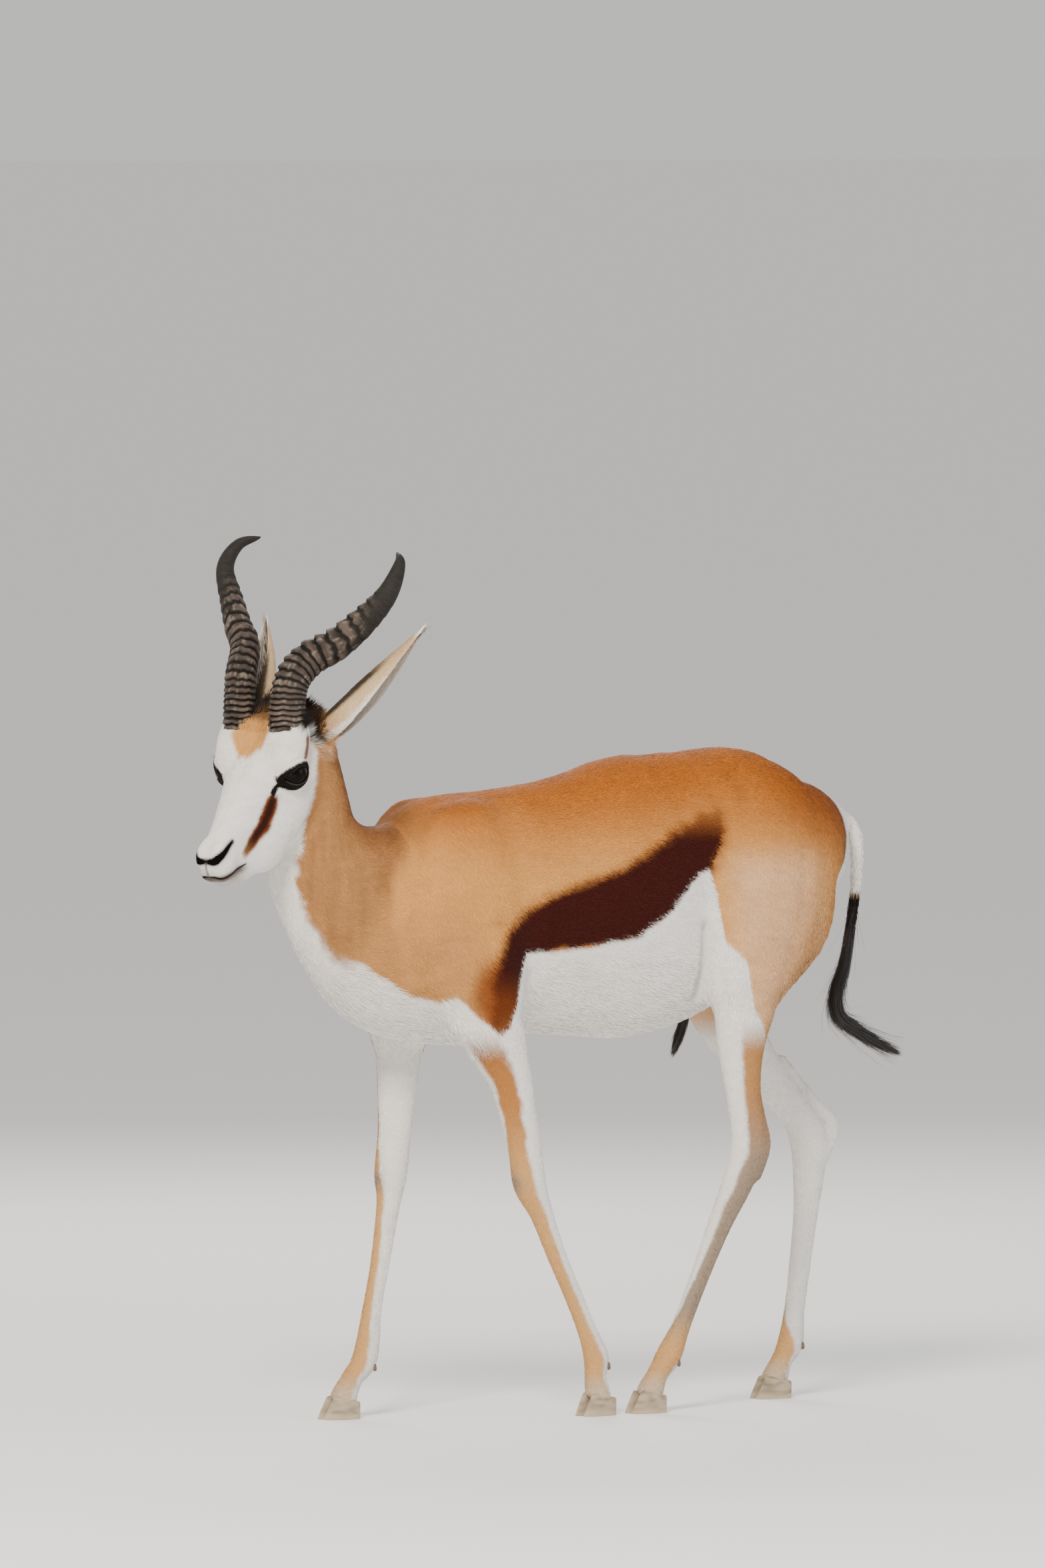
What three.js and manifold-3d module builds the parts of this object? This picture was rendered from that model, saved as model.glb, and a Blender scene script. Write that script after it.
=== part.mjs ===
// A life-size springbok ram that walks slowly with its head turned to its left.
// Millimetres, +Z up. The animal faces -X and its left side is -Y.
import * as THREE from "three";
import { mergeVertices } from "three/addons/utils/BufferGeometryUtils.js";
import Module from "manifold-3d";

const wasm = await Module();
wasm.setup();

// Driving dimensions. Sections are listed as [x, y, z, half depth, half width].
const GAP = 0.3;
const TRUNK = [
  [-285, 0, 632, 138, 74],
  [-230, 0, 642, 158, 90],
  [-150, 0, 650, 158, 98],
  [-60, 0, 653, 168, 103],
  [20, 0, 660, 181, 109],
  [90, 0, 676, 179, 106],
  [150, 0, 697, 162, 99],
  [205, 0, 716, 143, 92],
  [255, 0, 722, 119, 80],
  [288, 0, 722, 88, 62],
];
const NECK = [
  [-240, 0, 596, 108, 74],
  [-306, 0, 618, 100, 68],
  [-367, 0, 656, 86, 59],
  [-405, -1, 702, 76, 56],
  [-424, -4, 750, 67, 52],
  [-433, -8, 802, 58, 48],
  [-441, -10, 850, 51, 45],
];
const FORELEG_LEFT = [
  [-222, -58, 725, 66, 30],
  [-238, -70, 625, 78, 38],
  [-210, -78, 535, 62, 37],
  [-190, -81, 476, 41, 31],
  [-171, -81, 429, 30, 25],
  [-152, -79, 351, 24, 19.5],
  [-143, -77, 303, 22.5, 20],
  [-124, -75, 263, 16, 14.5],
  [-101, -72, 211, 13.6, 12],
  [-72, -68, 154, 12.8, 11.5],
  [-50, -65, 108, 13.6, 12.5],
  [-36, -63, 74, 17.5, 16],
  [-37, -62, 50, 14.5, 15],
  [-33, -62, 28, 17.5, 18.5],
  [-31, -62, 14, 17.5, 18.5],
];
const FORELEG_RIGHT = [
  [-235, 55, 725, 66, 30],
  [-262, 66, 625, 78, 38],
  [-254, 70, 535, 60, 36],
  [-253, 68, 480, 39, 29],
  [-256, 66, 445, 31, 25],
  [-262, 64, 367, 24, 19.5],
  [-269, 62, 310, 22.5, 20],
  [-273, 61, 273, 16.5, 14.5],
  [-286, 60, 196, 13.6, 12],
  [-298, 59, 140, 13.5, 12],
  [-309, 58, 77, 17.5, 16],
  [-328, 57, 52, 14.5, 15],
  [-341, 56, 29, 17.5, 18.5],
  [-346, 56, 14, 17.5, 18.5],
];
const HINDLEG_LEFT = [
  [244, -52, 722, 90, 42],
  [217, -68, 642, 97, 46],
  [184, -80, 560, 61, 39],
  [171, -84, 506, 43, 32],
  [168, -84, 456, 32, 25],
  [172, -83, 410, 26, 20],
  [180, -80, 370, 25, 17.5],
  [183, -77, 333, 26, 17.5],
  [167, -75, 291, 22, 15],
  [143, -71, 239, 17, 12.8],
  [117, -67, 176, 13.6, 11.8],
  [92, -63, 114, 13.2, 11.8],
  [74, -61, 74, 17.5, 16],
  [58, -60, 50, 14.5, 15],
  [47, -60, 29, 17.5, 18.5],
  [42, -60, 14, 17.5, 18.5],
];
const HINDLEG_RIGHT = [
  [244, 52, 722, 90, 42],
  [234, 66, 642, 96, 45],
  [224, 76, 560, 66, 39],
  [238, 78, 508, 50, 33],
  [270, 76, 455, 39, 26],
  [308, 73, 410, 29, 20],
  [342, 70, 371, 24, 17.5],
  [361, 68, 333, 28, 17.5],
  [360, 66, 291, 23.5, 15],
  [354, 64, 237, 18, 13],
  [342, 61, 161, 15.5, 12],
  [334, 59, 111, 14.8, 12],
  [327, 57, 72, 18, 16],
  [314, 56, 50, 14.5, 15],
  [304, 56, 29, 17.5, 18.5],
  [299, 56, 14, 17.5, 18.5],
];
const HEEL_CORD_LEFT = [
  [186, -80, 418, 9, 7],
  [199, -79, 376, 9, 7],
  [206, -77, 341, 10.5, 9],
  [192, -76, 306, 12, 10],
];
const HEEL_CORD_RIGHT = [
  [322, 73, 440, 9, 7],
  [361, 71, 395, 9, 7],
  [394, 68, 354, 11.5, 9],
  [382, 67, 318, 13, 10],
];
const TAIL_DOCK = [
  [350, 0, 762, 18, 18],
  [380, 0, 748, 13, 14],
  [392, 0, 722, 10, 11.5],
  [391, 0, 666, 8.5, 9.5],
  [384, 0, 620, 8, 9],
  [375, 0, 568, 8.5, 8],
  [362, 0, 532, 8, 7],
  [362, 0, 506, 6, 5],
];
const TRUNK_EGG = -0.12;
const TRUNK_FLOOR = 462;
const TRUNK_MARKS = [
  -396, -376, -346, -314, -292, -272, -250, -228, -206, -184, -162, -140, -112, -72, -24, 26,
  70, 102, 126, 148, 172, 196, 220, 246, 272, 298, 322, 344, 362,
];
const GROIN_START = 96;
const GROIN_RISE = 0.56;
const BLEND_LIMB = 34;
const BLEND_NECK = 46;
const BLEND_HEAD = 18;
const BLEND_SMALL = 7;

// The head: between the horn bases lies its own origin. f runs down the face, u stands on
// the face and l points to the animal's left.
const HEAD_AT = new THREE.Vector3(-513, -35, 895);
const HEAD_YAW = THREE.MathUtils.degToRad(28);
const HEAD_PITCH = THREE.MathUtils.degToRad(51.5);
const HEAD_ROLL = THREE.MathUtils.degToRad(1.5);
const SKULL = [
  [-38, -56, 0, 42, 42],
  [-12, -57, 0, 57, 50],
  [20, -56, 0, 58, 54],
  [50, -53.5, 0, 54.5, 50],
  [80, -51, 0, 51, 42],
  [110, -48, 0, 47, 35],
  [140, -43.5, 0, 42.5, 28.5],
  [165, -38, 0, 38, 23.5],
  [188, -33, 0, 31, 21],
];
const SKULL_EGG = -0.06;
const HEAD_MARKS = [
  -64, -50, -36, -20, -4, 12, 27, 40, 53, 67, 82, 100, 120, 140, 158, 174, 188, 200, 208, 213,
];
const EYE = { f: 43, u: -38, l: 45, radius: 21, lid: 3.4, wide: 45, high: 28 };
const EYE_LOOK = new THREE.Vector3(0.27, 0.12, 0.95);
const EYE_SLANT = THREE.MathUtils.degToRad(30);
const BROW = { f: 28, u: -26, l: 41, radii: [34, 24, 24] };
const HORN_FOOT = { f: 2, u: -12, l: 34, radii: [34, 24, 28] };
const CHEEK = { f: 50, u: -82, l: 34, radii: [54, 31, 21] };
const JAW = { f: 108, u: -83, l: 23, radii: [56, 33, 20] };
const MANDIBLE = { f: 160, u: -67, l: 9, radii: [34, 23, 15] };
const LIP = { f: 192, u: -36, l: 11, radii: [23, 17, 12] };
const NOSE = { f: 189, u: -14, l: 10, radii: [21, 13, 11] };
const CHIN = { f: 194, u: -56, l: 0, radii: [19, 11, 16] };
const MOUTH = [
  [219, -28],
  [207, -36],
  [195, -44],
  [183, -51],
  [170, -57],
];
const MOUTH_OPEN = 1.6;
const NOSTRIL = [
  [212, -11, 6, 2.4],
  [203, -9, 15, 4.2],
  [192, -10, 20.5, 3.4],
  [181, -14, 23.5, 1.2],
];

// Horns, from the horn base midpoint: out to the side, forward and up.
const HORN_LEFT = [
  [36, -4, -22],
  [37, -12, 50],
  [46, -40, 83],
  [73, -66, 104],
  [99, -95, 136],
  [117, -117, 168],
  [122, -137, 204],
  [110, -150, 219],
];
const HORN_RIGHT = [
  [36, -4, -22],
  [40, -14, 56],
  [56, -50, 96],
  [81, -73, 121],
  [111, -102, 157],
  [131, -119, 196],
  [124, -139, 225],
  [101, -157, 235],
];
const HORN_DEEP = 24;
const HORN_WIDE = 20;
const HORN_TOE = THREE.MathUtils.degToRad(25);
const HORN_RINGS = 21;
const HORN_RINGED = 0.77;
const HORN_RIDGE = 0.085;
const HORN_SOCKET = 1.1;
const TAIL_DRUM = 34;
const DRUM_LENGTH = 60;

// Ears, from the ear base: a rolled leaf, open towards the back and the outside.
const EAR_BASE = [-28, -52, 52];
const EAR_TIP_LEFT = new THREE.Vector3(-324, -130, 1023);
const EAR_TIP_RIGHT = new THREE.Vector3(-404, 148, 1028);
const EAR_THICK = 3;
const EAR_RADIUS = [17, 21, 25, 27, 25, 19.5, 11, 1.8];
const EAR_SPREAD = [150, 132, 112, 100, 92, 86, 80, 76];
const EAR_BOW = 15;
const EAR_OPEN = [new THREE.Vector3(0.55, -0.55, -0.6), new THREE.Vector3(0.2, 0.9, -0.35)];

const HOOF = { length: 52, width: 16.5, height: 26, cleft: 3, back: 8, slope: 0.2 };
const FEET = [
  ["front_left", -38, -62, 10],
  ["front_right", -350, 56, 0],
  ["hind_left", 38, -60, 3],
  ["hind_right", 295, 56, 0],
];
const FETLOCKS = { front_left: 11, front_right: 10, hind_left: 12, hind_right: 12 };
const DEWCLAW = { radius: 6, length: 13, drop: 8, apart: 9 };

const TAIL_LOCKS = 12;
const TAIL_TIP = new THREE.Vector3(460, 0, 447);
const SHEATH_LOCKS = 4;
const LOCK_WIDE = 11;
const LOCK_THICK = 4.5;
const SHEATH_TOP = new THREE.Vector3(134, 0, 512);
const SHEATH_TIP = new THREE.Vector3(116, 0, 456);

const X = new THREE.Vector3(1, 0, 0);
const Y = new THREE.Vector3(0, 1, 0);
const Z = new THREE.Vector3(0, 0, 1);

// A seeded random number from 0 to 1, so that every build is alike.
function seeded(seed) {
  let state = seed;
  return () => {
    state = (state * 1664525 + 1013904223) % 4294967296;
    return state / 4294967296;
  };
}

// Smooth union of two signed distances: the smaller one, rounded where they are near.
function blend(a, b, width) {
  const near = Math.max(width - Math.abs(a - b), 0) / width;
  return Math.min(a, b) - near * near * width * 0.25;
}

// A body of elliptic section along a smooth line, with round ends.
class Sweep {
  constructor(sections, across = Y, egg = 0, steps = 5) {
    const spots = sections.map((s) => new THREE.Vector3(s[0], s[1], s[2]));
    const sizes = sections.map((s) => new THREE.Vector3(s[3], s[4], 0));
    this.line = new THREE.CatmullRomCurve3(spots, false, "catmullrom", 0.5);
    this.size = new THREE.CatmullRomCurve3(sizes, false, "catmullrom", 0.5);
    this.across = across;
    this.egg = egg;
    const count = (sections.length - 1) * steps;
    this.nodes = Array.from({ length: count + 1 }, (_, i) => this.frame(i / count));
    const box = new THREE.Box3();
    this.nodes.forEach((n) => box.expandByPoint(n.at));
    const widest = Math.max(...sections.map((s) => Math.max(s[3], s[4])));
    this.box = box.expandByScalar(widest + 60);
  }

  // Centre, half depth, half width and directions at a place from 0 to 1 along the line.
  frame(t) {
    const at = this.line.getPoint(t);
    const size = this.size.getPoint(t);
    const along = this.line.getTangent(t);
    const side = this.across.clone().addScaledVector(along, -this.across.dot(along));
    side.normalize();
    const rise = new THREE.Vector3().crossVectors(side, along);
    return { at, along, side, rise, deep: size.x, wide: size.y };
  }

  distance(p) {
    if (!this.box.containsPoint(p)) return 60 + this.box.distanceToPoint(p);
    let best = Infinity;
    let index = 0;
    let part = 0;
    for (let i = 0; i + 1 < this.nodes.length; i++) {
      const a = this.nodes[i].at;
      const b = this.nodes[i + 1].at;
      const dx = b.x - a.x;
      const dy = b.y - a.y;
      const dz = b.z - a.z;
      const px = p.x - a.x;
      const py = p.y - a.y;
      const pz = p.z - a.z;
      const raw = (px * dx + py * dy + pz * dz) / (dx * dx + dy * dy + dz * dz);
      const t = Math.min(1, Math.max(0, raw));
      const far = (px - t * dx) ** 2 + (py - t * dy) ** 2 + (pz - t * dz) ** 2;
      if (far < best) {
        best = far;
        index = i;
        part = t;
      }
    }
    const a = this.nodes[index];
    const b = this.nodes[index + 1];
    const mix = (m, n) => m + (n - m) * part;
    const ox = p.x - mix(a.at.x, b.at.x);
    const oy = p.y - mix(a.at.y, b.at.y);
    const oz = p.z - mix(a.at.z, b.at.z);
    const deep = mix(a.deep, b.deep);
    const side = ox * a.side.x + oy * a.side.y + oz * a.side.z;
    const rise = ox * a.rise.x + oy * a.rise.y + oz * a.rise.z;
    const lean = Math.max(-1, Math.min(1, rise / deep));
    const wide = mix(a.wide, b.wide) * (1 + this.egg * lean);
    const rest = Math.sqrt(Math.max(0, best - side * side));
    const k0 = Math.hypot(rest / deep, side / wide);
    const k1 = Math.hypot(rest / (deep * deep), side / (wide * wide));
    return k1 > 0 ? (k0 * (k0 - 1)) / k1 : -Math.min(deep, wide);
  }
}

// The head's own directions in the world.
const headTurn = new THREE.Matrix4();
{
  const ahead = new THREE.Vector3(-Math.cos(HEAD_YAW), -Math.sin(HEAD_YAW), 0);
  const left = new THREE.Vector3(Math.sin(HEAD_YAW), -Math.cos(HEAD_YAW), 0);
  const face = ahead.clone().multiplyScalar(Math.cos(HEAD_PITCH));
  face.addScaledVector(Z, -Math.sin(HEAD_PITCH));
  const stand = ahead.clone().multiplyScalar(Math.sin(HEAD_PITCH));
  stand.addScaledVector(Z, Math.cos(HEAD_PITCH));
  headTurn.makeBasis(face, stand, left);
  headTurn.premultiply(new THREE.Matrix4().makeRotationAxis(ahead, -HEAD_ROLL));
}
const faceWay = new THREE.Vector3().setFromMatrixColumn(headTurn, 0);
const standWay = new THREE.Vector3().setFromMatrixColumn(headTurn, 1);
const leftWay = new THREE.Vector3().setFromMatrixColumn(headTurn, 2);

// A point given down the face, off the face and to the left, in the world.
function onHead(f, u, l) {
  const p = HEAD_AT.clone().addScaledVector(faceWay, f);
  return p.addScaledVector(standWay, u).addScaledVector(leftWay, l);
}

// An ellipsoid in the head's directions.
class HeadBulge {
  constructor(spec, side) {
    this.at = onHead(spec.f, spec.u, spec.l * side);
    this.radii = spec.radii;
  }

  distance(p) {
    const ox = p.x - this.at.x;
    const oy = p.y - this.at.y;
    const oz = p.z - this.at.z;
    const part = (way, r) => (ox * way.x + oy * way.y + oz * way.z) / r;
    const a = part(faceWay, this.radii[0]);
    const b = part(standWay, this.radii[1]);
    const c = part(leftWay, this.radii[2]);
    const k0 = Math.hypot(a, b, c);
    const k1 = Math.hypot(a / this.radii[0], b / this.radii[1], c / this.radii[2]);
    return k1 > 0 ? (k0 * (k0 - 1)) / k1 : -Math.min(...this.radii);
  }
}

const skullSections = SKULL.map(([f, u, l, deep, wide]) => {
  const p = onHead(f, u, l);
  return [p.x, p.y, p.z, deep, wide];
});
const trunk = new Sweep(TRUNK, Y, TRUNK_EGG);
const neck = new Sweep(NECK);
const skull = new Sweep(skullSections, leftWay, SKULL_EGG);
const legs = {
  front_left: new Sweep(FORELEG_LEFT),
  front_right: new Sweep(FORELEG_RIGHT),
  hind_left: new Sweep(HINDLEG_LEFT),
  hind_right: new Sweep(HINDLEG_RIGHT),
};
const heelCords = [new Sweep(HEEL_CORD_LEFT), new Sweep(HEEL_CORD_RIGHT)];
const dock = new Sweep(TAIL_DOCK);
const SIDES = [1, -1];
const eyes = SIDES.map((s) => onHead(EYE.f, EYE.u, EYE.l * s));
const swellings = [BROW, HORN_FOOT, CHEEK, JAW, MANDIBLE];
const big = SIDES.flatMap((s) => swellings.map((spec) => new HeadBulge(spec, s)));
const small = SIDES.flatMap((s) => [new HeadBulge(LIP, s), new HeadBulge(NOSE, s)]);
small.push(new HeadBulge(CHIN, 1));

// Horn and ear roots on the head, side 1 for the left.
const hornAhead = new THREE.Vector3(-Math.cos(HEAD_YAW), -Math.sin(HEAD_YAW), 0);
const hornOut = new THREE.Vector3(Math.sin(HEAD_YAW), -Math.cos(HEAD_YAW), 0);
function hornLine(path, side) {
  const spots = path.map(([out, ahead, up]) => {
    const p = new THREE.Vector3().addScaledVector(hornOut, out * side);
    p.addScaledVector(hornAhead, ahead).addScaledVector(Z, up);
    return p.add(HEAD_AT);
  });
  return new THREE.CatmullRomCurve3(spots, false, "catmullrom", 0.5);
}
const hornLines = [hornLine(HORN_LEFT, 1), hornLine(HORN_RIGHT, -1)];
const earBases = SIDES.map((s) => onHead(EAR_BASE[0], EAR_BASE[1], EAR_BASE[2] * s));
const earTips = [EAR_TIP_LEFT, EAR_TIP_RIGHT];
const earWays = earTips.map((tip, i) => tip.clone().sub(earBases[i]).normalize());
const earStubs = earBases.map((base, i) => {
  const inner = onHead(-26, -58, 26 * SIDES[i]);
  const mid = inner.clone().lerp(base, 0.6);
  const out = base.clone().addScaledVector(earWays[i], 4);
  const section = (p, r) => [p.x, p.y, p.z, r, r];
  return new Sweep([section(inner, 24), section(mid, 22), section(out, 19)], leftWay);
});

// Signed distance of the head alone, and of all the flesh.
function headDistance(p) {
  let d = skull.distance(p);
  big.forEach((b) => (d = blend(d, b.distance(p), BLEND_HEAD)));
  small.forEach((b) => (d = blend(d, b.distance(p), BLEND_SMALL)));
  return d;
}
function fleshDistance(p) {
  let d = trunk.distance(p);
  Object.values(legs).forEach((leg) => (d = blend(d, leg.distance(p), BLEND_LIMB)));
  heelCords.forEach((cord) => (d = blend(d, cord.distance(p), BLEND_SMALL)));
  d = blend(d, dock.distance(p), BLEND_SMALL * 2);
  d = blend(d, neck.distance(p), BLEND_NECK);
  return blend(d, headDistance(p), BLEND_HEAD);
}

// How far a ray from inside runs before it leaves the flesh.
function reachOf(field, from, way, limit) {
  const stride = 4;
  const p = new THREE.Vector3();
  const at = (r) => field(p.copy(from).addScaledVector(way, r));
  let low = 0;
  while (low < limit && at(low + stride) < 0) low += stride;
  if (low >= limit) return limit;
  let high = low + stride;
  for (let i = 0; i < 12; i++) {
    const mid = (low + high) / 2;
    if (at(mid) < 0) low = mid;
    else high = mid;
  }
  return Math.min((low + high) / 2, limit);
}

// A closed surface through rings of points, fanned shut at both end points.
function loft(rings, first, last) {
  const sides = rings[0].length;
  const spots = [first, ...rings.flat(), last];
  const faces = [];
  const id = (ring, k) => 1 + ring * sides + (k % sides);
  for (let k = 0; k < sides; k++) {
    faces.push([0, id(0, k + 1), id(0, k)]);
    for (let r = 0; r + 1 < rings.length; r++) {
      faces.push([id(r, k), id(r, k + 1), id(r + 1, k + 1)]);
      faces.push([id(r, k), id(r + 1, k + 1), id(r + 1, k)]);
    }
    faces.push([spots.length - 1, id(rings.length - 1, k), id(rings.length - 1, k + 1)]);
  }
  const geometry = new THREE.BufferGeometry();
  geometry.setFromPoints(spots);
  geometry.setIndex(faces.flat());
  return solidOf(geometry);
}

// A three.js geometry as a solid that can be joined and cut, turned outside out if needed.
function solidOf(geometry) {
  const bare = new THREE.BufferGeometry();
  bare.setAttribute("position", geometry.getAttribute("position"));
  bare.setIndex(geometry.getIndex());
  const merged = mergeVertices(bare, 1e-3);
  const make = (triVerts) =>
    new wasm.Manifold(
      new wasm.Mesh({
        numProp: 3,
        vertProperties: new Float32Array(merged.attributes.position.array),
        triVerts,
      }),
    );
  const order = new Uint32Array(merged.index.array);
  const solid = make(order);
  return solid.volume() > 0 ? solid : make(order.reverse());
}

// Flesh around a line of ring frames: every ray ends where the flesh does.
function flesh(frames, field, sides, limitOf, shut = [true, true]) {
  const rings = frames.map((f, i) => {
    return Array.from({ length: sides }, (_, k) => {
      const angle = (2 * Math.PI * k) / sides;
      const way = f.side.clone().multiplyScalar(Math.cos(angle));
      way.addScaledVector(f.rise, Math.sin(angle)).normalize();
      const r = reachOf(field, f.at, way, limitOf(f, i));
      return f.at.clone().addScaledVector(way, r);
    });
  });
  const tip = (f, sign) => {
    const way = f.along.clone().multiplyScalar(sign);
    return f.at.clone().addScaledVector(way, reachOf(field, f.at, way, 200));
  };
  const start = frames[0];
  const end = frames[frames.length - 1];
  const first = shut[0] ? tip(start, -1) : start.at.clone();
  const last = shut[1] ? tip(end, 1) : end.at.clone();
  return loft(rings, first, last);
}

// A big box beyond a plane, to cut with, and one before it that also takes the gap.
function beyond(point, normal, gap = 0) {
  const size = 1600;
  const box = new THREE.BoxGeometry(size, size, size);
  box.translate(0, 0, size / 2 - gap);
  const turn = new THREE.Quaternion().setFromUnitVectors(Z, normal.clone().normalize());
  box.applyQuaternion(turn);
  box.translate(point.x, point.y, point.z);
  return solidOf(box);
}
function before(point, normal) {
  return beyond(point, normal.clone().negate(), GAP);
}

// The largest closed body of a solid.
function largest(solid) {
  const bodies = solid.decompose();
  return bodies.reduce((a, b) => (b.volume() > a.volume() ? b : a));
}

// Several solids as one.
function join(solids) {
  return solids.reduce((a, b) => a.add(b));
}

// Cutting planes between the nodes.
const neckTop = new THREE.Vector3(-420, -4, 830);
const neckTopWay = new THREE.Vector3(0.689, 0.159, -0.707).normalize();
const neckFoot = new THREE.Vector3(-352, 0, 668);
const neckFootWay = new THREE.Vector3(-0.86, 0, 0.51).normalize();
const floorAt = new THREE.Vector3(0, 0, TRUNK_FLOOR);
const groinAt = new THREE.Vector3(GROIN_START, 0, TRUNK_FLOOR);
const groinWay = new THREE.Vector3(GROIN_RISE, 0, -1).normalize();
const down = Z.clone().negate();
const tailAt = new THREE.Vector3(385, 0, 752);
const tailWay = new THREE.Vector3(0.72, 0, -0.69).normalize();

// The body without neck, legs and tail, in rings across its length.
function trunkNode() {
  const [chest, rump] = [TRUNK[0][0], TRUNK[TRUNK.length - 1][0]];
  const frames = TRUNK_MARKS.map((x) => {
    const t = THREE.MathUtils.clamp((x - chest) / (rump - chest), 0, 1);
    const lift = THREE.MathUtils.clamp((x - rump) / 84, 0, 1) * 14;
    const z = trunk.frame(t).at.z + lift + Math.max(0, chest - x) * 0.1;
    return { at: new THREE.Vector3(x, 0, z), along: X, side: Y, rise: Z };
  });
  const field = (p) => {
    const groin = (p.x - GROIN_START) * GROIN_RISE + TRUNK_FLOOR - p.z;
    const limbs = Math.max(TRUNK_FLOOR - p.z, groin) - 10;
    return Math.max(fleshDistance(p), limbs);
  };
  return flesh(frames, field, 28, () => 240)
    .subtract(beyond(floorAt, down))
    .subtract(beyond(groinAt, groinWay))
    .subtract(beyond(neckFoot, neckFootWay))
    .subtract(drum(tailAt, tailWay, TAIL_DRUM));
}

// The neck between the shoulders and the back of the head.
function neckNode() {
  const frames = Array.from({ length: 10 }, (_, i) => neck.frame((i + 1) / 10));
  return flesh(frames, fleshDistance, 24, (f) => f.deep * 1.7)
    .subtract(before(neckFoot, neckFootWay))
    .subtract(before(neckTop, neckTopWay));
}

// A leg down to its hooves, with the two nubs behind the fetlock.
function legNode(name, hind) {
  const leg = legs[name];
  const top = hind ? 0.07 : 0.1;
  const rows = hind ? 27 : 24;
  const mark = (i) => top + ((1 - top) * i) / (rows - 1);
  const frames = Array.from({ length: rows }, (_, i) => leg.frame(mark(i)));
  const limitOf = (f) => Math.max(f.deep, f.wide) * 1.45 + 14;
  const body = flesh(frames, fleshDistance, 14, limitOf, [false, false]);
  const foot = FEET.find((f) => f[0] === name);
  const claws = SIDES.map((s) => dewclaw(name, foot, s));
  const cut = join([body, ...claws]).subtract(coronetSpace(foot));
  return cut.subtract(hind ? before(groinAt, groinWay) : before(floorAt, down));
}

// The space below the line where the hooves start: it rises towards the toe.
function coronetSpace(foot) {
  const yaw = THREE.MathUtils.degToRad(foot[3]);
  const toe = new THREE.Vector3(-Math.cos(yaw), -Math.sin(yaw), 0);
  const at = new THREE.Vector3(foot[1], foot[2], HOOF.height + GAP);
  at.addScaledVector(toe, -HOOF.back);
  const way = toe.multiplyScalar(HOOF.slope).addScaledVector(Z, -1);
  return beyond(at, way);
}

// A small horny nub at the back of a fetlock.
function dewclaw(name, foot, side) {
  const fetlock = legs[name].frame(FETLOCKS[name] / (legs[name].line.points.length - 1));
  const cone = new THREE.ConeGeometry(DEWCLAW.radius, DEWCLAW.length, 7);
  cone.rotateX(-Math.PI / 2 - 0.5);
  cone.translate(DEWCLAW.apart * side, 0, 0);
  cone.rotateZ(THREE.MathUtils.degToRad(foot[3] + 90));
  const back = fetlock.rise.clone().setZ(0).normalize();
  if (back.x < 0) back.negate();
  cone.translate(fetlock.at.x + back.x * 12, fetlock.at.y, fetlock.at.z - DEWCLAW.drop);
  return solidOf(cone);
}

// One claw of a cloven hoof: a flat sole, a pointed toe and a sloping wall.
function claw(foot, side) {
  const levels = [0, 0.12, 0.55, 1];
  const rings = levels.map((t) => {
    const length = (HOOF.length / 2) * (1 - 0.3 * t);
    const back = HOOF.back * t;
    const width = (HOOF.width / 2) * (1 - 0.02 * t);
    return Array.from({ length: 14 }, (_, k) => {
      const angle = (2 * Math.PI * k) / 14;
      const x = Math.cos(angle);
      const point = x < 0 ? 1 - 0.42 * (1 - t) * x * x : 1;
      const y = Math.sin(angle) * width * point;
      const inner = side * y < 0 ? 0.86 : 1;
      const z = HOOF.height * t - x * length * HOOF.slope * t;
      return new THREE.Vector3(x * length + back, y * inner, z);
    });
  });
  const base = new THREE.Vector3(0, 0, 0);
  const top = new THREE.Vector3(HOOF.back, 0, HOOF.height);
  const solid = loft(rings, base, top);
  const yaw = THREE.MathUtils.degToRad(foot[3]);
  const off = (HOOF.width + HOOF.cleft) / 2;
  const place = new THREE.Matrix4().makeRotationZ(yaw);
  place.setPosition(foot[1], foot[2], 0);
  const splay = new THREE.Matrix4().makeRotationZ(side * 0.07);
  splay.setPosition(0, off * side, 0);
  return solid.transform(place.multiply(splay).elements);
}

// The head, with sockets, lids, nostrils and the line of the mouth.
function headNode() {
  const frames = HEAD_MARKS.map((f) => {
    const u = THREE.MathUtils.clamp(-60 + Math.max(0, f - 20) * 0.185, -60, -27);
    return { at: onHead(f, u, 0), along: faceWay, side: leftWay, rise: standWay };
  });
  const skin = flesh(frames, fleshDistance, 28, () => 95);
  const lids = eyes.map((eye) => ball(eye, EYE.radius + EYE.lid, 16, 10));
  let head = join([skin, ...lids, ...earStubs.map(stubSolid)]);
  eyes.forEach((eye, i) => {
    head = head.subtract(lidOpening(eye, SIDES[i]));
    head = head.subtract(ball(eye, EYE.radius + GAP, 14, 9));
    head = head.subtract(mouthCut(SIDES[i])).subtract(nostril(SIDES[i]));
    head = head.subtract(beyond(earBases[i], earWays[i]));
    head = head.subtract(hornSocket(i));
  });
  return largest(head.subtract(beyond(neckTop, neckTopWay)));
}

// A short round space that starts at a plane, to cut a seat for a horn or the tail.
function drum(at, way, radius) {
  const round = new THREE.CylinderGeometry(radius, radius, DRUM_LENGTH, 16);
  round.rotateX(Math.PI / 2);
  round.translate(0, 0, DRUM_LENGTH / 2);
  round.applyQuaternion(new THREE.Quaternion().setFromUnitVectors(Z, way));
  round.translate(at.x, at.y, at.z);
  return solidOf(round);
}

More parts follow.
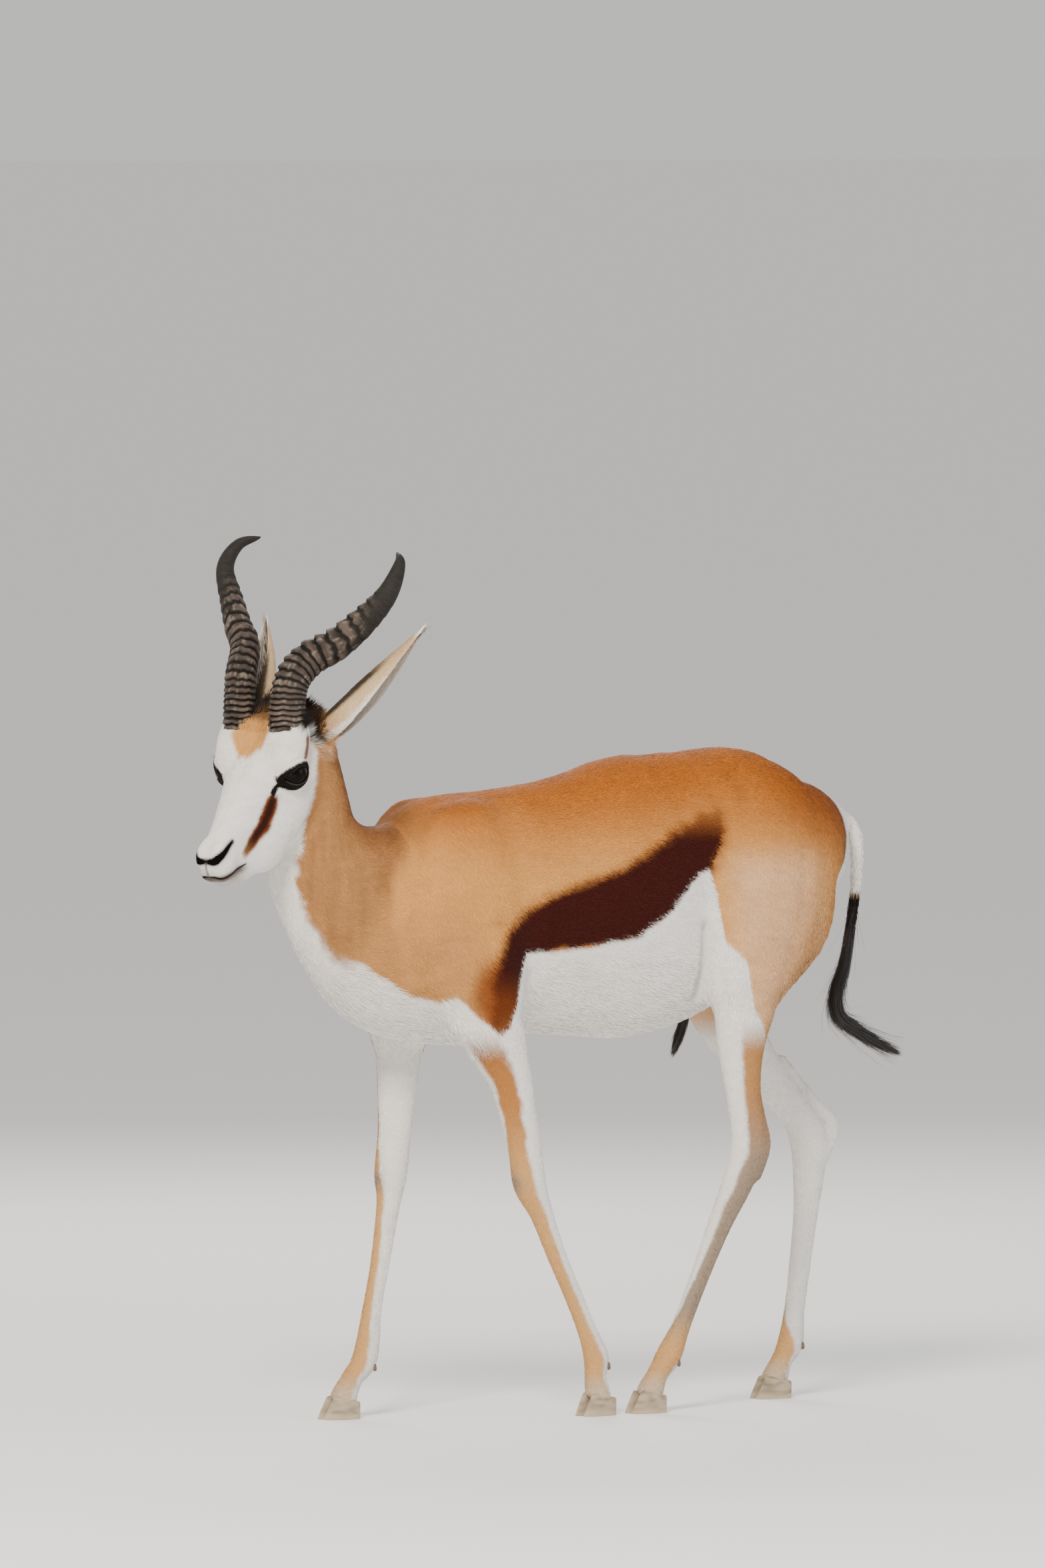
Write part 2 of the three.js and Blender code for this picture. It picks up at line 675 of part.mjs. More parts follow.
// The round hole that a horn stands in, a little wider than its ridges.
function hornSocket(index) {
  const { at, along, side, rise } = hornFrame(index, 0);
  const round = new THREE.CylinderGeometry(1, 1, DRUM_LENGTH, 20);
  round.rotateX(Math.PI / 2);
  round.translate(0, 0, DRUM_LENGTH / 2);
  const room = HORN_SOCKET + HORN_DEEP * HORN_RIDGE;
  round.scale(HORN_WIDE + room, HORN_DEEP + room, 1);
  round.applyMatrix4(new THREE.Matrix4().makeBasis(side, rise, along));
  round.translate(at.x, at.y, at.z);
  return solidOf(round);
}

// A small root that carries an ear.
function stubSolid(stub) {
  const frames = [0, 0.33, 0.66, 1].map((t) => stub.frame(t));
  return flesh(frames, (p) => stub.distance(p), 14, (f) => f.deep * 1.3);
}

// A faceted ball.
function ball(at, radius, around, down) {
  const sphere = new THREE.SphereGeometry(radius, around, down);
  sphere.rotateX(Math.PI / 2);
  sphere.translate(at.x, at.y, at.z);
  return solidOf(sphere);
}

// The almond opening between the lids, as a prism that runs out from the eyeball.
function lidOpening(eye, side) {
  const look = onHead(EYE_LOOK.x, EYE_LOOK.y, EYE_LOOK.z * side).sub(HEAD_AT).normalize();
  const shape = new THREE.Shape();
  const half = EYE.wide / 2;
  shape.moveTo(-half, 0);
  shape.quadraticCurveTo(-half * 0.1, EYE.high * 1.08, half, 0);
  shape.quadraticCurveTo(half * 0.1, -EYE.high * 0.9, -half, 0);
  const cut = { depth: EYE.radius + 13, bevelEnabled: false, curveSegments: 7 };
  const prism = new THREE.ExtrudeGeometry(shape, cut);
  const fore = faceWay.clone().multiplyScalar(Math.cos(EYE_SLANT));
  fore.addScaledVector(standWay, Math.sin(EYE_SLANT));
  fore.addScaledVector(look, -fore.dot(look)).normalize();
  const up = new THREE.Vector3().crossVectors(look, fore);
  if (up.dot(standWay) < 0) up.negate();
  const across = new THREE.Vector3().crossVectors(up, look);
  prism.applyMatrix4(new THREE.Matrix4().makeBasis(across, up, look));
  prism.translate(eye.x, eye.y, eye.z);
  return solidOf(prism);
}

// A thin cut along the lips, from the middle of the front to a corner.
function mouthCut(side) {
  const rings = MOUTH.map(([f, u], i) => {
    const inside = onHead(Math.min(f, 190), u, 0);
    const aim = i === 0 ? onHead(240, u, side * 2) : onHead(f + 4, u, side * 40);
    const way = aim.sub(inside).normalize();
    const r = reachOf(headDistance, inside, way, 80);
    const skin = inside.clone().addScaledVector(way, r + 3);
    const root = inside.clone().addScaledVector(way, Math.max(2, r - (i === 0 ? 6 : 4)));
    const lift = standWay.clone().multiplyScalar(MOUTH_OPEN * (i === MOUTH.length - 1 ? 0.3 : 1));
    return [root, skin.clone().sub(lift), skin.clone().add(lift)];
  });
  const centre = (ring) => ring.reduce((a, b) => a.clone().add(b)).divideScalar(3);
  return loft(rings, centre(rings[0]), centre(rings[rings.length - 1]));
}

// A comma-shaped nostril.
function nostril(side) {
  const rings = NOSTRIL.map(([f, u, l, r]) => {
    const inside = onHead(f - 16, u - 8, (l - 6) * side);
    const way = onHead(f, u, l * side).sub(inside).normalize();
    const far = reachOf(headDistance, inside, way, 60);
    const at = inside.addScaledVector(way, far);
    return Array.from({ length: 8 }, (_, k) => {
      const angle = (2 * Math.PI * k) / 8;
      const p = at.clone().addScaledVector(way, Math.cos(angle) * (r + 2.5));
      return p.addScaledVector(standWay, Math.sin(angle) * r);
    });
  });
  const middle = (ring) => ring[0].clone().lerp(ring[4], 0.5);
  return loft(rings, middle(rings[0]), middle(rings[rings.length - 1]));
}

// Centre and directions of a horn's section at a place from 0 to 1 along its line. The longer way
// of the section turns in a little in front.
function hornFrame(index, t) {
  const line = hornLines[index];
  const toe = HORN_TOE * SIDES[index];
  const along = line.getTangentAt(t);
  const left = leftWay.clone().addScaledVector(along, -leftWay.dot(along)).normalize();
  const back = new THREE.Vector3().crossVectors(along, left);
  const side = left.clone().multiplyScalar(Math.cos(toe)).addScaledVector(back, -Math.sin(toe));
  const rise = back.multiplyScalar(Math.cos(toe)).addScaledVector(left, Math.sin(toe));
  return { at: line.getPointAt(t), along, side, rise };
}

// A horn: elliptic rings along its line, ridged up to the smooth tip.
function hornNode(index) {
  const line = hornLines[index];
  const marks = [];
  for (let i = 0; i < HORN_RINGS; i++) {
    const start = HORN_RINGED * (i / HORN_RINGS) ** 0.92;
    const end = HORN_RINGED * ((i + 1) / HORN_RINGS) ** 0.92;
    const depth = HORN_RIDGE * (1 - 0.45 * (i / HORN_RINGS));
    marks.push([start, -depth * 0.35], [start + (end - start) * 0.42, depth]);
  }
  [0.775, 0.82, 0.86, 0.9, 0.94, 0.975].forEach((t) => marks.push([t, 0]));
  const rings = marks.map(([t, ridge]) => {
    const { at, along, side, rise } = hornFrame(index, t);
    const taper = hornTaper(t);
    if (t === 0) at.addScaledVector(along, GAP);
    return Array.from({ length: 14 }, (_, k) => {
      const angle = (2 * Math.PI * k) / 14;
      const p = at.clone().addScaledVector(side, Math.cos(angle) * HORN_WIDE * taper * (1 + ridge));
      return p.addScaledVector(rise, Math.sin(angle) * HORN_DEEP * taper * (1 + ridge));
    });
  });
  const base = line.getPoint(0).addScaledVector(line.getTangent(0), GAP);
  return loft(rings, base, line.getPointAt(1));
}

// Thickness along a horn: nearly even at first, then down to the tip.
function hornTaper(t) {
  return (1 - 0.14 * t) * Math.pow(Math.max(1 - Math.pow(t, 3), 0), 0.62);
}

// An ear: a leaf rolled into a trough, closed round its edges.
function earNode(index) {
  const base = earBases[index].clone().addScaledVector(earWays[index], GAP);
  const tip = earTips[index];
  const way = earWays[index];
  const out = EAR_OPEN[index].clone();
  out.addScaledVector(way, -out.dot(way)).normalize();
  const side = new THREE.Vector3().crossVectors(way, out);
  const steps = 7;
  const rows = EAR_RADIUS.map((radius, i) => {
    const t = i / (EAR_RADIUS.length - 1);
    const at = base.clone().lerp(tip, t * 0.99);
    at.addScaledVector(out, EAR_BOW * Math.sin(Math.PI * t));
    const spread = THREE.MathUtils.degToRad(EAR_SPREAD[i]);
    const arc = (r, n) =>
      Array.from({ length: steps + 1 }, (_, k) => {
        const angle = spread * ((2 * k) / steps - 1) * n;
        const p = at.clone().addScaledVector(out, -Math.cos(angle) * r);
        return p.addScaledVector(side, Math.sin(angle) * r);
      });
    const thick = Math.min(EAR_THICK, radius * 0.5);
    return [...arc(radius, 1), ...arc(radius - thick, -1)];
  });
  return band(rows, steps);
}

// A solid from rows that each run out along one face and back along the other.
function band(rows, steps) {
  const wide = rows[0].length;
  const faces = [];
  const id = (r, k) => r * wide + (k % wide);
  for (let r = 0; r + 1 < rows.length; r++)
    for (let k = 0; k < wide; k++) {
      faces.push([id(r, k), id(r, k + 1), id(r + 1, k + 1)]);
      faces.push([id(r, k), id(r + 1, k + 1), id(r + 1, k)]);
    }
  const last = rows.length - 1;
  for (let k = 0; k < steps; k++) {
    const back = wide - 1 - k;
    faces.push([id(0, k), id(0, back), id(0, back - 1)]);
    faces.push([id(0, k), id(0, back - 1), id(0, k + 1)]);
    faces.push([id(last, k), id(last, back - 1), id(last, back)]);
    faces.push([id(last, k), id(last, k + 1), id(last, back - 1)]);
  }
  const geometry = new THREE.BufferGeometry();
  geometry.setFromPoints(rows.flat());
  geometry.setIndex(faces.flat());
  return solidOf(geometry);
}

// A flat tapered lock of hair that bends along its line.
function lock(spots, wide, thick, turn) {
  const line = new THREE.CatmullRomCurve3(spots);
  const marks = [0, 0.3, 0.6, 0.85];
  const rings = marks.map((t) => {
    const at = line.getPoint(t);
    const along = line.getTangent(t);
    const side = Y.clone().addScaledVector(along, -along.y).normalize();
    const rise = new THREE.Vector3().crossVectors(side, along);
    const size = Math.max(0.12, 1 - t ** 1.7);
    return Array.from({ length: 4 }, (_, k) => {
      const angle = (2 * Math.PI * k) / 4;
      const a = Math.cos(angle) * wide * 0.5 * size;
      const b = Math.sin(angle) * thick * 0.5 * size;
      const p = at.clone().addScaledVector(side, a * Math.cos(turn) - b * Math.sin(turn));
      return p.addScaledVector(rise, a * Math.sin(turn) + b * Math.cos(turn));
    });
  });
  return loft(rings, line.getPoint(0), line.getPoint(1));
}

// The tail: a white dock that turns into a black brush of locks.
function tailNode() {
  const marks = [0, 0.1, 0.2, 0.3, 0.42, 0.56, 0.7, 0.85, 1];
  const frames = marks.map((t) => dock.frame(t));
  const core = flesh(frames, (p) => dock.distance(p), 10, (f) => f.deep * 1.6);
  const random = seeded(11);
  const locks = Array.from({ length: TAIL_LOCKS }, (_, i) => {
    const t = 0.5 + (0.48 * i) / (TAIL_LOCKS - 1);
    const root = dock.line.getPoint(t);
    const later = dock.line.getPoint(Math.min(1, t + 0.2));
    const sway = (random() - 0.5) * 13;
    const drop = (random() - 0.5) * 26;
    const reach = 0.35 + 0.65 * t + 0.1 * random();
    const bend = new THREE.Vector3(372 + 8 * random(), sway * 0.6, 500 - 4 * random());
    const tip = TAIL_TIP.clone().lerp(bend, Math.max(0, 1 - reach));
    tip.add(new THREE.Vector3(0, sway, Math.max(drop, -6)));
    const mid = bend.clone().lerp(tip, 0.45);
    mid.z -= 8;
    const spots = later.z > bend.z + 30 ? [root, later, bend, mid, tip] : [root, bend, mid, tip];
    return lock(spots, LOCK_WIDE * (0.8 + 0.4 * random()), LOCK_THICK, random() * Math.PI);
  });
  return largest(join([core, ...locks]).subtract(before(tailAt, tailWay)));
}

// The dark tuft under the belly.
function sheathNode() {
  const random = seeded(5);
  const locks = Array.from({ length: SHEATH_LOCKS }, (_, i) => {
    const turn = (2 * Math.PI * i) / SHEATH_LOCKS;
    const sway = new THREE.Vector3(Math.cos(turn) * 4, Math.sin(turn) * 4, 0);
    const top = SHEATH_TOP.clone().addScaledVector(sway, 0.8);
    const mid = SHEATH_TOP.clone().lerp(SHEATH_TIP, 0.5).addScaledVector(sway, 0.9);
    const tip = SHEATH_TIP.clone().addScaledVector(sway, 0.6);
    tip.z += random() * 8;
    return lock([top, mid, tip], 13, 8, turn);
  });
  return join(locks);
}

// A solid together with itself moved down a little, so that what is cut by it keeps a gap.
function grown(solid) {
  return solid.add(solid.translate([0, 0, -GAP]));
}

// A solid as a named mesh with its own finish.
function named(name, solid, finish) {
  const mesh = solid.getMesh();
  const count = mesh.numProp;
  const spots = new Float32Array(mesh.numVert * 3);
  for (let i = 0; i < mesh.numVert; i++)
    spots.set(mesh.vertProperties.subarray(i * count, i * count + 3), i * 3);
  const geometry = new THREE.BufferGeometry();
  geometry.setAttribute("position", new THREE.BufferAttribute(spots, 3));
  geometry.setIndex(new THREE.BufferAttribute(mesh.triVerts, 1));
  geometry.computeVertexNormals();
  const made = new THREE.Mesh(geometry, new THREE.MeshStandardMaterial(finish));
  made.name = name;
  return made;
}

const FINISH = {
  tan: { color: "#c8853f", roughness: 0.85, metalness: 0 },
  white: { color: "#efe9e0", roughness: 0.85, metalness: 0 },
  black: { color: "#17120f", roughness: 0.75, metalness: 0 },
  horn: { color: "#5a4d45", roughness: 0.6, metalness: 0 },
  hoof: { color: "#8d7860", roughness: 0.6, metalness: 0 },
  eye: { color: "#120b08", roughness: 0.1, metalness: 0 },
};

const group = new THREE.Group();
const add = (name, solid, finish) => group.add(named(name, solid, finish));
const tail = tailNode();
const sheath = sheathNode();
const trunkSolid = largest(trunkNode());
add("torso", trunkSolid, FINISH.tan);
add("neck", largest(neckNode()), FINISH.tan);
add("head", headNode(), FINISH.white);
add("tail", tail, FINISH.black);
add("sheath_tuft", largest(sheath.subtract(grown(trunkSolid))), FINISH.black);
FEET.forEach((foot) => {
  const hind = foot[0].startsWith("hind");
  add("leg_" + foot[0], largest(legNode(foot[0], hind)), FINISH.white);
  add("hoof_" + foot[0] + "_left", claw(foot, -1), FINISH.hoof);
  add("hoof_" + foot[0] + "_right", claw(foot, 1), FINISH.hoof);
});
["left", "right"].forEach((name, i) => {
  add("horn_" + name, hornNode(i), FINISH.horn);
  add("ear_" + name, earNode(i), FINISH.tan);
  add("eye_" + name, ball(eyes[i], EYE.radius, 14, 9), FINISH.eye);
});

// The origin goes to the middle of the box, at the level of the soles.
const box = new THREE.Box3().setFromObject(group);
const middle = box.getCenter(new THREE.Vector3());
group.position.set(-middle.x, -middle.y, -box.min.z);
group.updateMatrixWorld(true);

export default group;
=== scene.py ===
"""A life-size springbok ram in a slow walk: one skin with its coat, horns, ears, eyes and hooves.

Shapes are worked out in millimetres with the head towards -X, and moved into the frame at the end.
"""

import logging
import math
from dataclasses import dataclass
from enum import Enum

import bpy
import numpy as np
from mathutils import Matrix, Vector


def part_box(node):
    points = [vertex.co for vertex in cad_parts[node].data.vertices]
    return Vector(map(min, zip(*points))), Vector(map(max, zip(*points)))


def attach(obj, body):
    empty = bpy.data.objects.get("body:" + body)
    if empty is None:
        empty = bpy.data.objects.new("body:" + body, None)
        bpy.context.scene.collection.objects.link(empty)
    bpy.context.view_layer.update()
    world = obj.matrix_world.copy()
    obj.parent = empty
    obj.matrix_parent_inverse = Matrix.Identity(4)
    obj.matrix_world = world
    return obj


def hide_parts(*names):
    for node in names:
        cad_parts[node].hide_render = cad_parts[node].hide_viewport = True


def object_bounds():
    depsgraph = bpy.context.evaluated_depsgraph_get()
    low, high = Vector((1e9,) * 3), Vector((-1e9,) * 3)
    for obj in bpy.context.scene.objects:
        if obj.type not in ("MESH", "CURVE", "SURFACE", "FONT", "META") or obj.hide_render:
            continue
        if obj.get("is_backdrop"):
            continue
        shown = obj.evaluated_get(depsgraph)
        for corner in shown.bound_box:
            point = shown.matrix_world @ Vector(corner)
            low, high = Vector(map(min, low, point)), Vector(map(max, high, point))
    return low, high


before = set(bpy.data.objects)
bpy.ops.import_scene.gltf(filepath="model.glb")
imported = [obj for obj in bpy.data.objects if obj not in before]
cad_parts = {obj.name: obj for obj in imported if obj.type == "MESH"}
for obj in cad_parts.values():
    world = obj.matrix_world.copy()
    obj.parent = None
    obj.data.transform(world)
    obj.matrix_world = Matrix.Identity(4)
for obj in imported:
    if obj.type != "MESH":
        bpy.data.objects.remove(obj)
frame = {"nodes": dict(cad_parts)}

log = logging.getLogger("springbok")

Array = np.ndarray
Rows = tuple[tuple[float, ...], ...]
Triple = tuple[float, float, float]

# Body sections: x, y, z, half depth and half width, in millimetres.
TRUNK: Rows = (
    (-285, 0, 632, 138, 74),
    (-230, 0, 642, 158, 90),
    (-150, 0, 650, 158, 98),
    (-60, 0, 653, 168, 103),
    (20, 0, 660, 181, 109),
    (90, 0, 676, 179, 106),
    (150, 0, 697, 162, 99),
    (205, 0, 716, 143, 92),
    (255, 0, 722, 119, 80),
    (288, 0, 722, 88, 62),
)
NECK: Rows = (
    (-240, 0, 596, 108, 74),
    (-306, 0, 618, 100, 68),
    (-367, 0, 656, 86, 59),
    (-405, -1, 702, 76, 56),
    (-424, -4, 750, 67, 52),
    (-433, -8, 802, 58, 48),
    (-441, -10, 850, 51, 45),
)
FORELEG_LEFT: Rows = (
    (-222, -58, 725, 66, 30),
    (-238, -70, 625, 78, 38),
    (-210, -78, 535, 62, 37),
    (-190, -81, 476, 41, 31),
    (-171, -81, 429, 30, 25),
    (-152, -79, 351, 24, 19.5),
    (-143, -77, 303, 22.5, 20),
    (-124, -75, 263, 16, 14.5),
    (-101, -72, 211, 13.6, 12),
    (-72, -68, 154, 12.8, 11.5),
    (-50, -65, 108, 13.6, 12.5),
    (-36, -63, 74, 17.5, 16),
    (-37, -62, 50, 14.5, 15),
    (-33, -62, 28, 17.5, 18.5),
    (-31, -62, 14, 17.5, 18.5),
)
FORELEG_RIGHT: Rows = (
    (-235, 55, 725, 66, 30),
    (-262, 66, 625, 78, 38),
    (-254, 70, 535, 60, 36),
    (-253, 68, 480, 39, 29),
    (-256, 66, 445, 31, 25),
    (-262, 64, 367, 24, 19.5),
    (-269, 62, 310, 22.5, 20),
    (-273, 61, 273, 16.5, 14.5),
    (-286, 60, 196, 13.6, 12),
    (-298, 59, 140, 13.5, 12),
    (-309, 58, 77, 17.5, 16),
    (-328, 57, 52, 14.5, 15),
    (-341, 56, 29, 17.5, 18.5),
    (-346, 56, 14, 17.5, 18.5),
)
HINDLEG_LEFT: Rows = (
    (244, -52, 722, 90, 42),
    (217, -68, 642, 97, 46),
    (184, -80, 560, 61, 39),
    (171, -84, 506, 43, 32),
    (168, -84, 456, 32, 25),
    (172, -83, 410, 26, 20),
    (180, -80, 370, 25, 17.5),
    (183, -77, 333, 26, 17.5),
    (167, -75, 291, 22, 15),
    (143, -71, 239, 17, 12.8),
    (117, -67, 176, 13.6, 11.8),
    (92, -63, 114, 13.2, 11.8),
    (74, -61, 74, 17.5, 16),
    (58, -60, 50, 14.5, 15),
    (47, -60, 29, 17.5, 18.5),
    (42, -60, 14, 17.5, 18.5),
)
HINDLEG_RIGHT: Rows = (
    (244, 52, 722, 90, 42),
    (234, 66, 642, 96, 45),
    (224, 76, 560, 66, 39),
    (238, 78, 508, 50, 33),
    (270, 76, 455, 39, 26),
    (308, 73, 410, 29, 20),
    (342, 70, 371, 24, 17.5),
    (361, 68, 333, 28, 17.5),
    (360, 66, 291, 23.5, 15),
    (354, 64, 237, 18, 13),
    (342, 61, 161, 15.5, 12),
    (334, 59, 111, 14.8, 12),
    (327, 57, 72, 18, 16),
    (314, 56, 50, 14.5, 15),
    (304, 56, 29, 17.5, 18.5),
    (299, 56, 14, 17.5, 18.5),
)
HEEL_CORD_LEFT: Rows = (
    (186, -80, 418, 9, 7),
    (199, -79, 376, 9, 7),
    (206, -77, 341, 10.5, 9),
    (192, -76, 306, 12, 10),
)
HEEL_CORD_RIGHT: Rows = (
    (322, 73, 440, 9, 7),
    (361, 71, 395, 9, 7),
    (394, 68, 354, 11.5, 9),
    (382, 67, 318, 13, 10),
)
TAIL_DOCK: Rows = (
    (350, 0, 762, 18, 18),
    (380, 0, 748, 13, 14),
    (392, 0, 722, 10, 11.5),
    (391, 0, 666, 8.5, 9.5),
    (384, 0, 620, 8, 9),
    (375, 0, 568, 8.5, 8),
    (362, 0, 532, 8, 7),
    (362, 0, 506, 6, 5),
)
TRUNK_EGG = -0.12
SKULL_EGG = -0.06
BLEND_LIMB = 34.0
BLEND_NECK = 46.0
BLEND_HEAD = 18.0
BLEND_SMALL = 7.0

# The head's own origin lies between the horn bases. f runs down the face, u stands on it and l
# points to the animal's left.
HEAD_AT = np.array([-513.0, -35.0, 895.0])
HEAD_YAW = math.radians(28)
HEAD_PITCH = math.radians(51.5)
HEAD_ROLL = math.radians(1.5)
SKULL: Rows = (
    (-38, -56, 0, 42, 42),
    (-12, -57, 0, 57, 50),
    (20, -56, 0, 58, 54),
    (50, -53.5, 0, 54.5, 50),
    (80, -51, 0, 51, 42),
    (110, -48, 0, 47, 35),
    (140, -43.5, 0, 42.5, 28.5),
    (165, -38, 0, 38, 23.5),
    (188, -33, 0, 31, 21),
)
# Swellings of the head: centre (f, u, l) and three radii. Those off the middle come on both sides.
BULGES_BIG: Rows = (
    (28, -26, 41, 34, 24, 24),
    (2, -12, 34, 34, 24, 28),
    (50, -82, 34, 54, 31, 21),
    (108, -83, 23, 56, 33, 20),
    (160, -67, 9, 34, 23, 15),
)
BULGES_SMALL: Rows = (
    (192, -36, 11, 23, 17, 12),
    (189, -14, 10, 21, 13, 11),
    (194, -56, 0, 19, 11, 16),
)
EYE_AT = (43.0, -38.0, 45.0)
EYE_RADIUS = 21.0
EYE_LOOK = (0.27, 0.12, 0.95)
EYE_SLANT = math.radians(32)
EYE_WIDE = 42.0
EYE_HIGH = 24.0
LID_UPPER = 0.53
LID_LOWER = 0.44
MOUTH: Rows = ((219, -28), (207, -36), (195, -44), (183, -51), (170, -57))
NOSTRIL: Rows = (
    (210, -7, 2.5, 1.8),
    (205, -10, 8, 3.4),
    (199, -12, 13.5, 4.4),
    (187, -14, 19, 3.2),
    (172, -16, 22, 1.2),
)

# Horn lines from the head's origin: outwards, ahead and up.
HORN_LEFT: Rows = (
    (36, -4, -22),
    (37, -12, 50),
    (46, -40, 83),
    (73, -66, 104),
    (99, -95, 136),
    (117, -117, 168),
    (122, -137, 204),
    (110, -150, 219),
)
HORN_RIGHT: Rows = (
    (36, -4, -22),
    (40, -14, 56),
    (56, -50, 96),
    (81, -73, 121),
    (111, -102, 157),
    (131, -119, 196),
    (124, -139, 225),
    (101, -157, 235),
)
EAR_BASE = (-28.0, -52.0, 52.0)
EAR_TIP_LEFT = (-324.0, -130.0, 1023.0)
EAR_TIP_RIGHT = (-404.0, 148.0, 1028.0)

# Where each foot stands: x, y and the turn of the toes in degrees.
FEET: dict[str, tuple[float, float, float]] = {
    "front_left": (-38, -62, 10),
    "front_right": (-350, 56, 0),
    "hind_left": (38, -60, 3),
    "hind_right": (295, 56, 0),
}
HOOF_HEIGHT = 26.0
HOOF_SLOPE = 0.2


class Side(Enum):
    """The two sides of the animal, +1 for its left in the head's own directions."""

    LEFT = 1
    RIGHT = -1


def unit(v: Array) -> Array:
    """Vectors brought to length one, along the last axis."""
    return v / np.maximum(np.linalg.norm(v, axis=-1, keepdims=True), 1e-9)


def ramp(low: float, high: float, value: Array) -> Array:
    """A smooth step from 0 at low to 1 at high."""
    part = np.clip((value - low) / (high - low), 0, 1)
    return part * part * (3 - 2 * part)


def mixed(a: Array, b: Array, part: Array) -> Array:
    """a where part is 0 and b where part is 1, for rows of vectors."""
    part = np.asarray(part)[..., None]
    return a + (b - a) * part


def joined(a: Array, b: Array, width: float) -> Array:
    """Union of two signed distances, rounded over that width."""
    near = np.maximum(width - np.abs(a - b), 0) / width
    return np.minimum(a, b) - near * near * width * 0.25


def carved(a: Array, b: Array, width: float) -> Array:
    """What is left of a after b is taken away, with a rounded edge."""
    return -joined(-a, b, width)


def lattice(cells: Array, seed: int) -> Array:
    """One random number from 0 to 1 for each whole-number cell."""
    mix = cells.astype(np.int64) @ np.array([73856093, 19349663, 83492791]) + seed * 7919
    mix = (mix ^ (mix >> 13)) * 1274126177
    return ((mix ^ (mix >> 16)) & 0xFFFF) / 65535.0


def noise(points: Array, size: float | tuple[float, float, float], seed: int = 0) -> Array:
    """A smooth random field from -1 to 1.

    Args:
        points: rows of x, y, z in millimetres.
        size: how far its patches reach, in millimetres, also one number an axis.
        seed: chooses another field.
    Returns:
        One number a row.
    """
    spots = points / np.array(size)
    whole = np.floor(spots)
    part = spots - whole
    part = part * part * (3 - 2 * part)
    total = np.zeros(len(points))
    for corner in np.ndindex(2, 2, 2):
        bits = np.array(corner)
        weight = np.prod(np.where(bits == 1, part, 1 - part), axis=1)
        total += weight * lattice(whole + bits, seed)
    return 2 * total - 1


def linear(code: str) -> Array:
    """A hex colour as it is seen, turned into the three linear numbers that a shader takes."""
    seen = np.array([int(code[i : i + 2], 16) / 255 for i in (1, 3, 5)])
    return np.where(seen <= 0.04045, seen / 12.92, ((seen + 0.055) / 1.055) ** 2.4)


def smooth_line(table: Array, t: Array) -> tuple[Array, Array]:
    """A curve through the rows of a table, bent evenly, and its slope.

    Each span is a cubic whose end slopes are half the step between the two neighbours.

    Args:
        table: one row for each point the curve passes.
        t: places from 0, the first row, to 1, the last.
    Returns:
        The rows at those places and their rate of change.
    """
    last = len(table) - 1
    wide = np.vstack([2 * table[0] - table[1], table, 2 * table[-1] - table[-2]])
    spot = np.clip(t, 0, 1) * last
    i = np.minimum(spot.astype(int), last - 1)
    s = (spot - i)[:, None]
    p0, p1, p2, p3 = (wide[i + k] for k in range(4))
    m1, m2 = (p2 - p0) / 2, (p3 - p1) / 2
    c2 = 3 * (p2 - p1) - 2 * m1 - m2
    c3 = 2 * (p1 - p2) + m1 + m2
    return p1 + s * (m1 + s * (c2 + s * c3)), m1 + s * (2 * c2 + 3 * s * c3)


@dataclass
class Local:
    """Where points lie beside a swept body: one number a point unless said otherwise."""

    distance: Array
    side: Array
    rise: Array
    deep: Array
    wide: Array
    along: Array


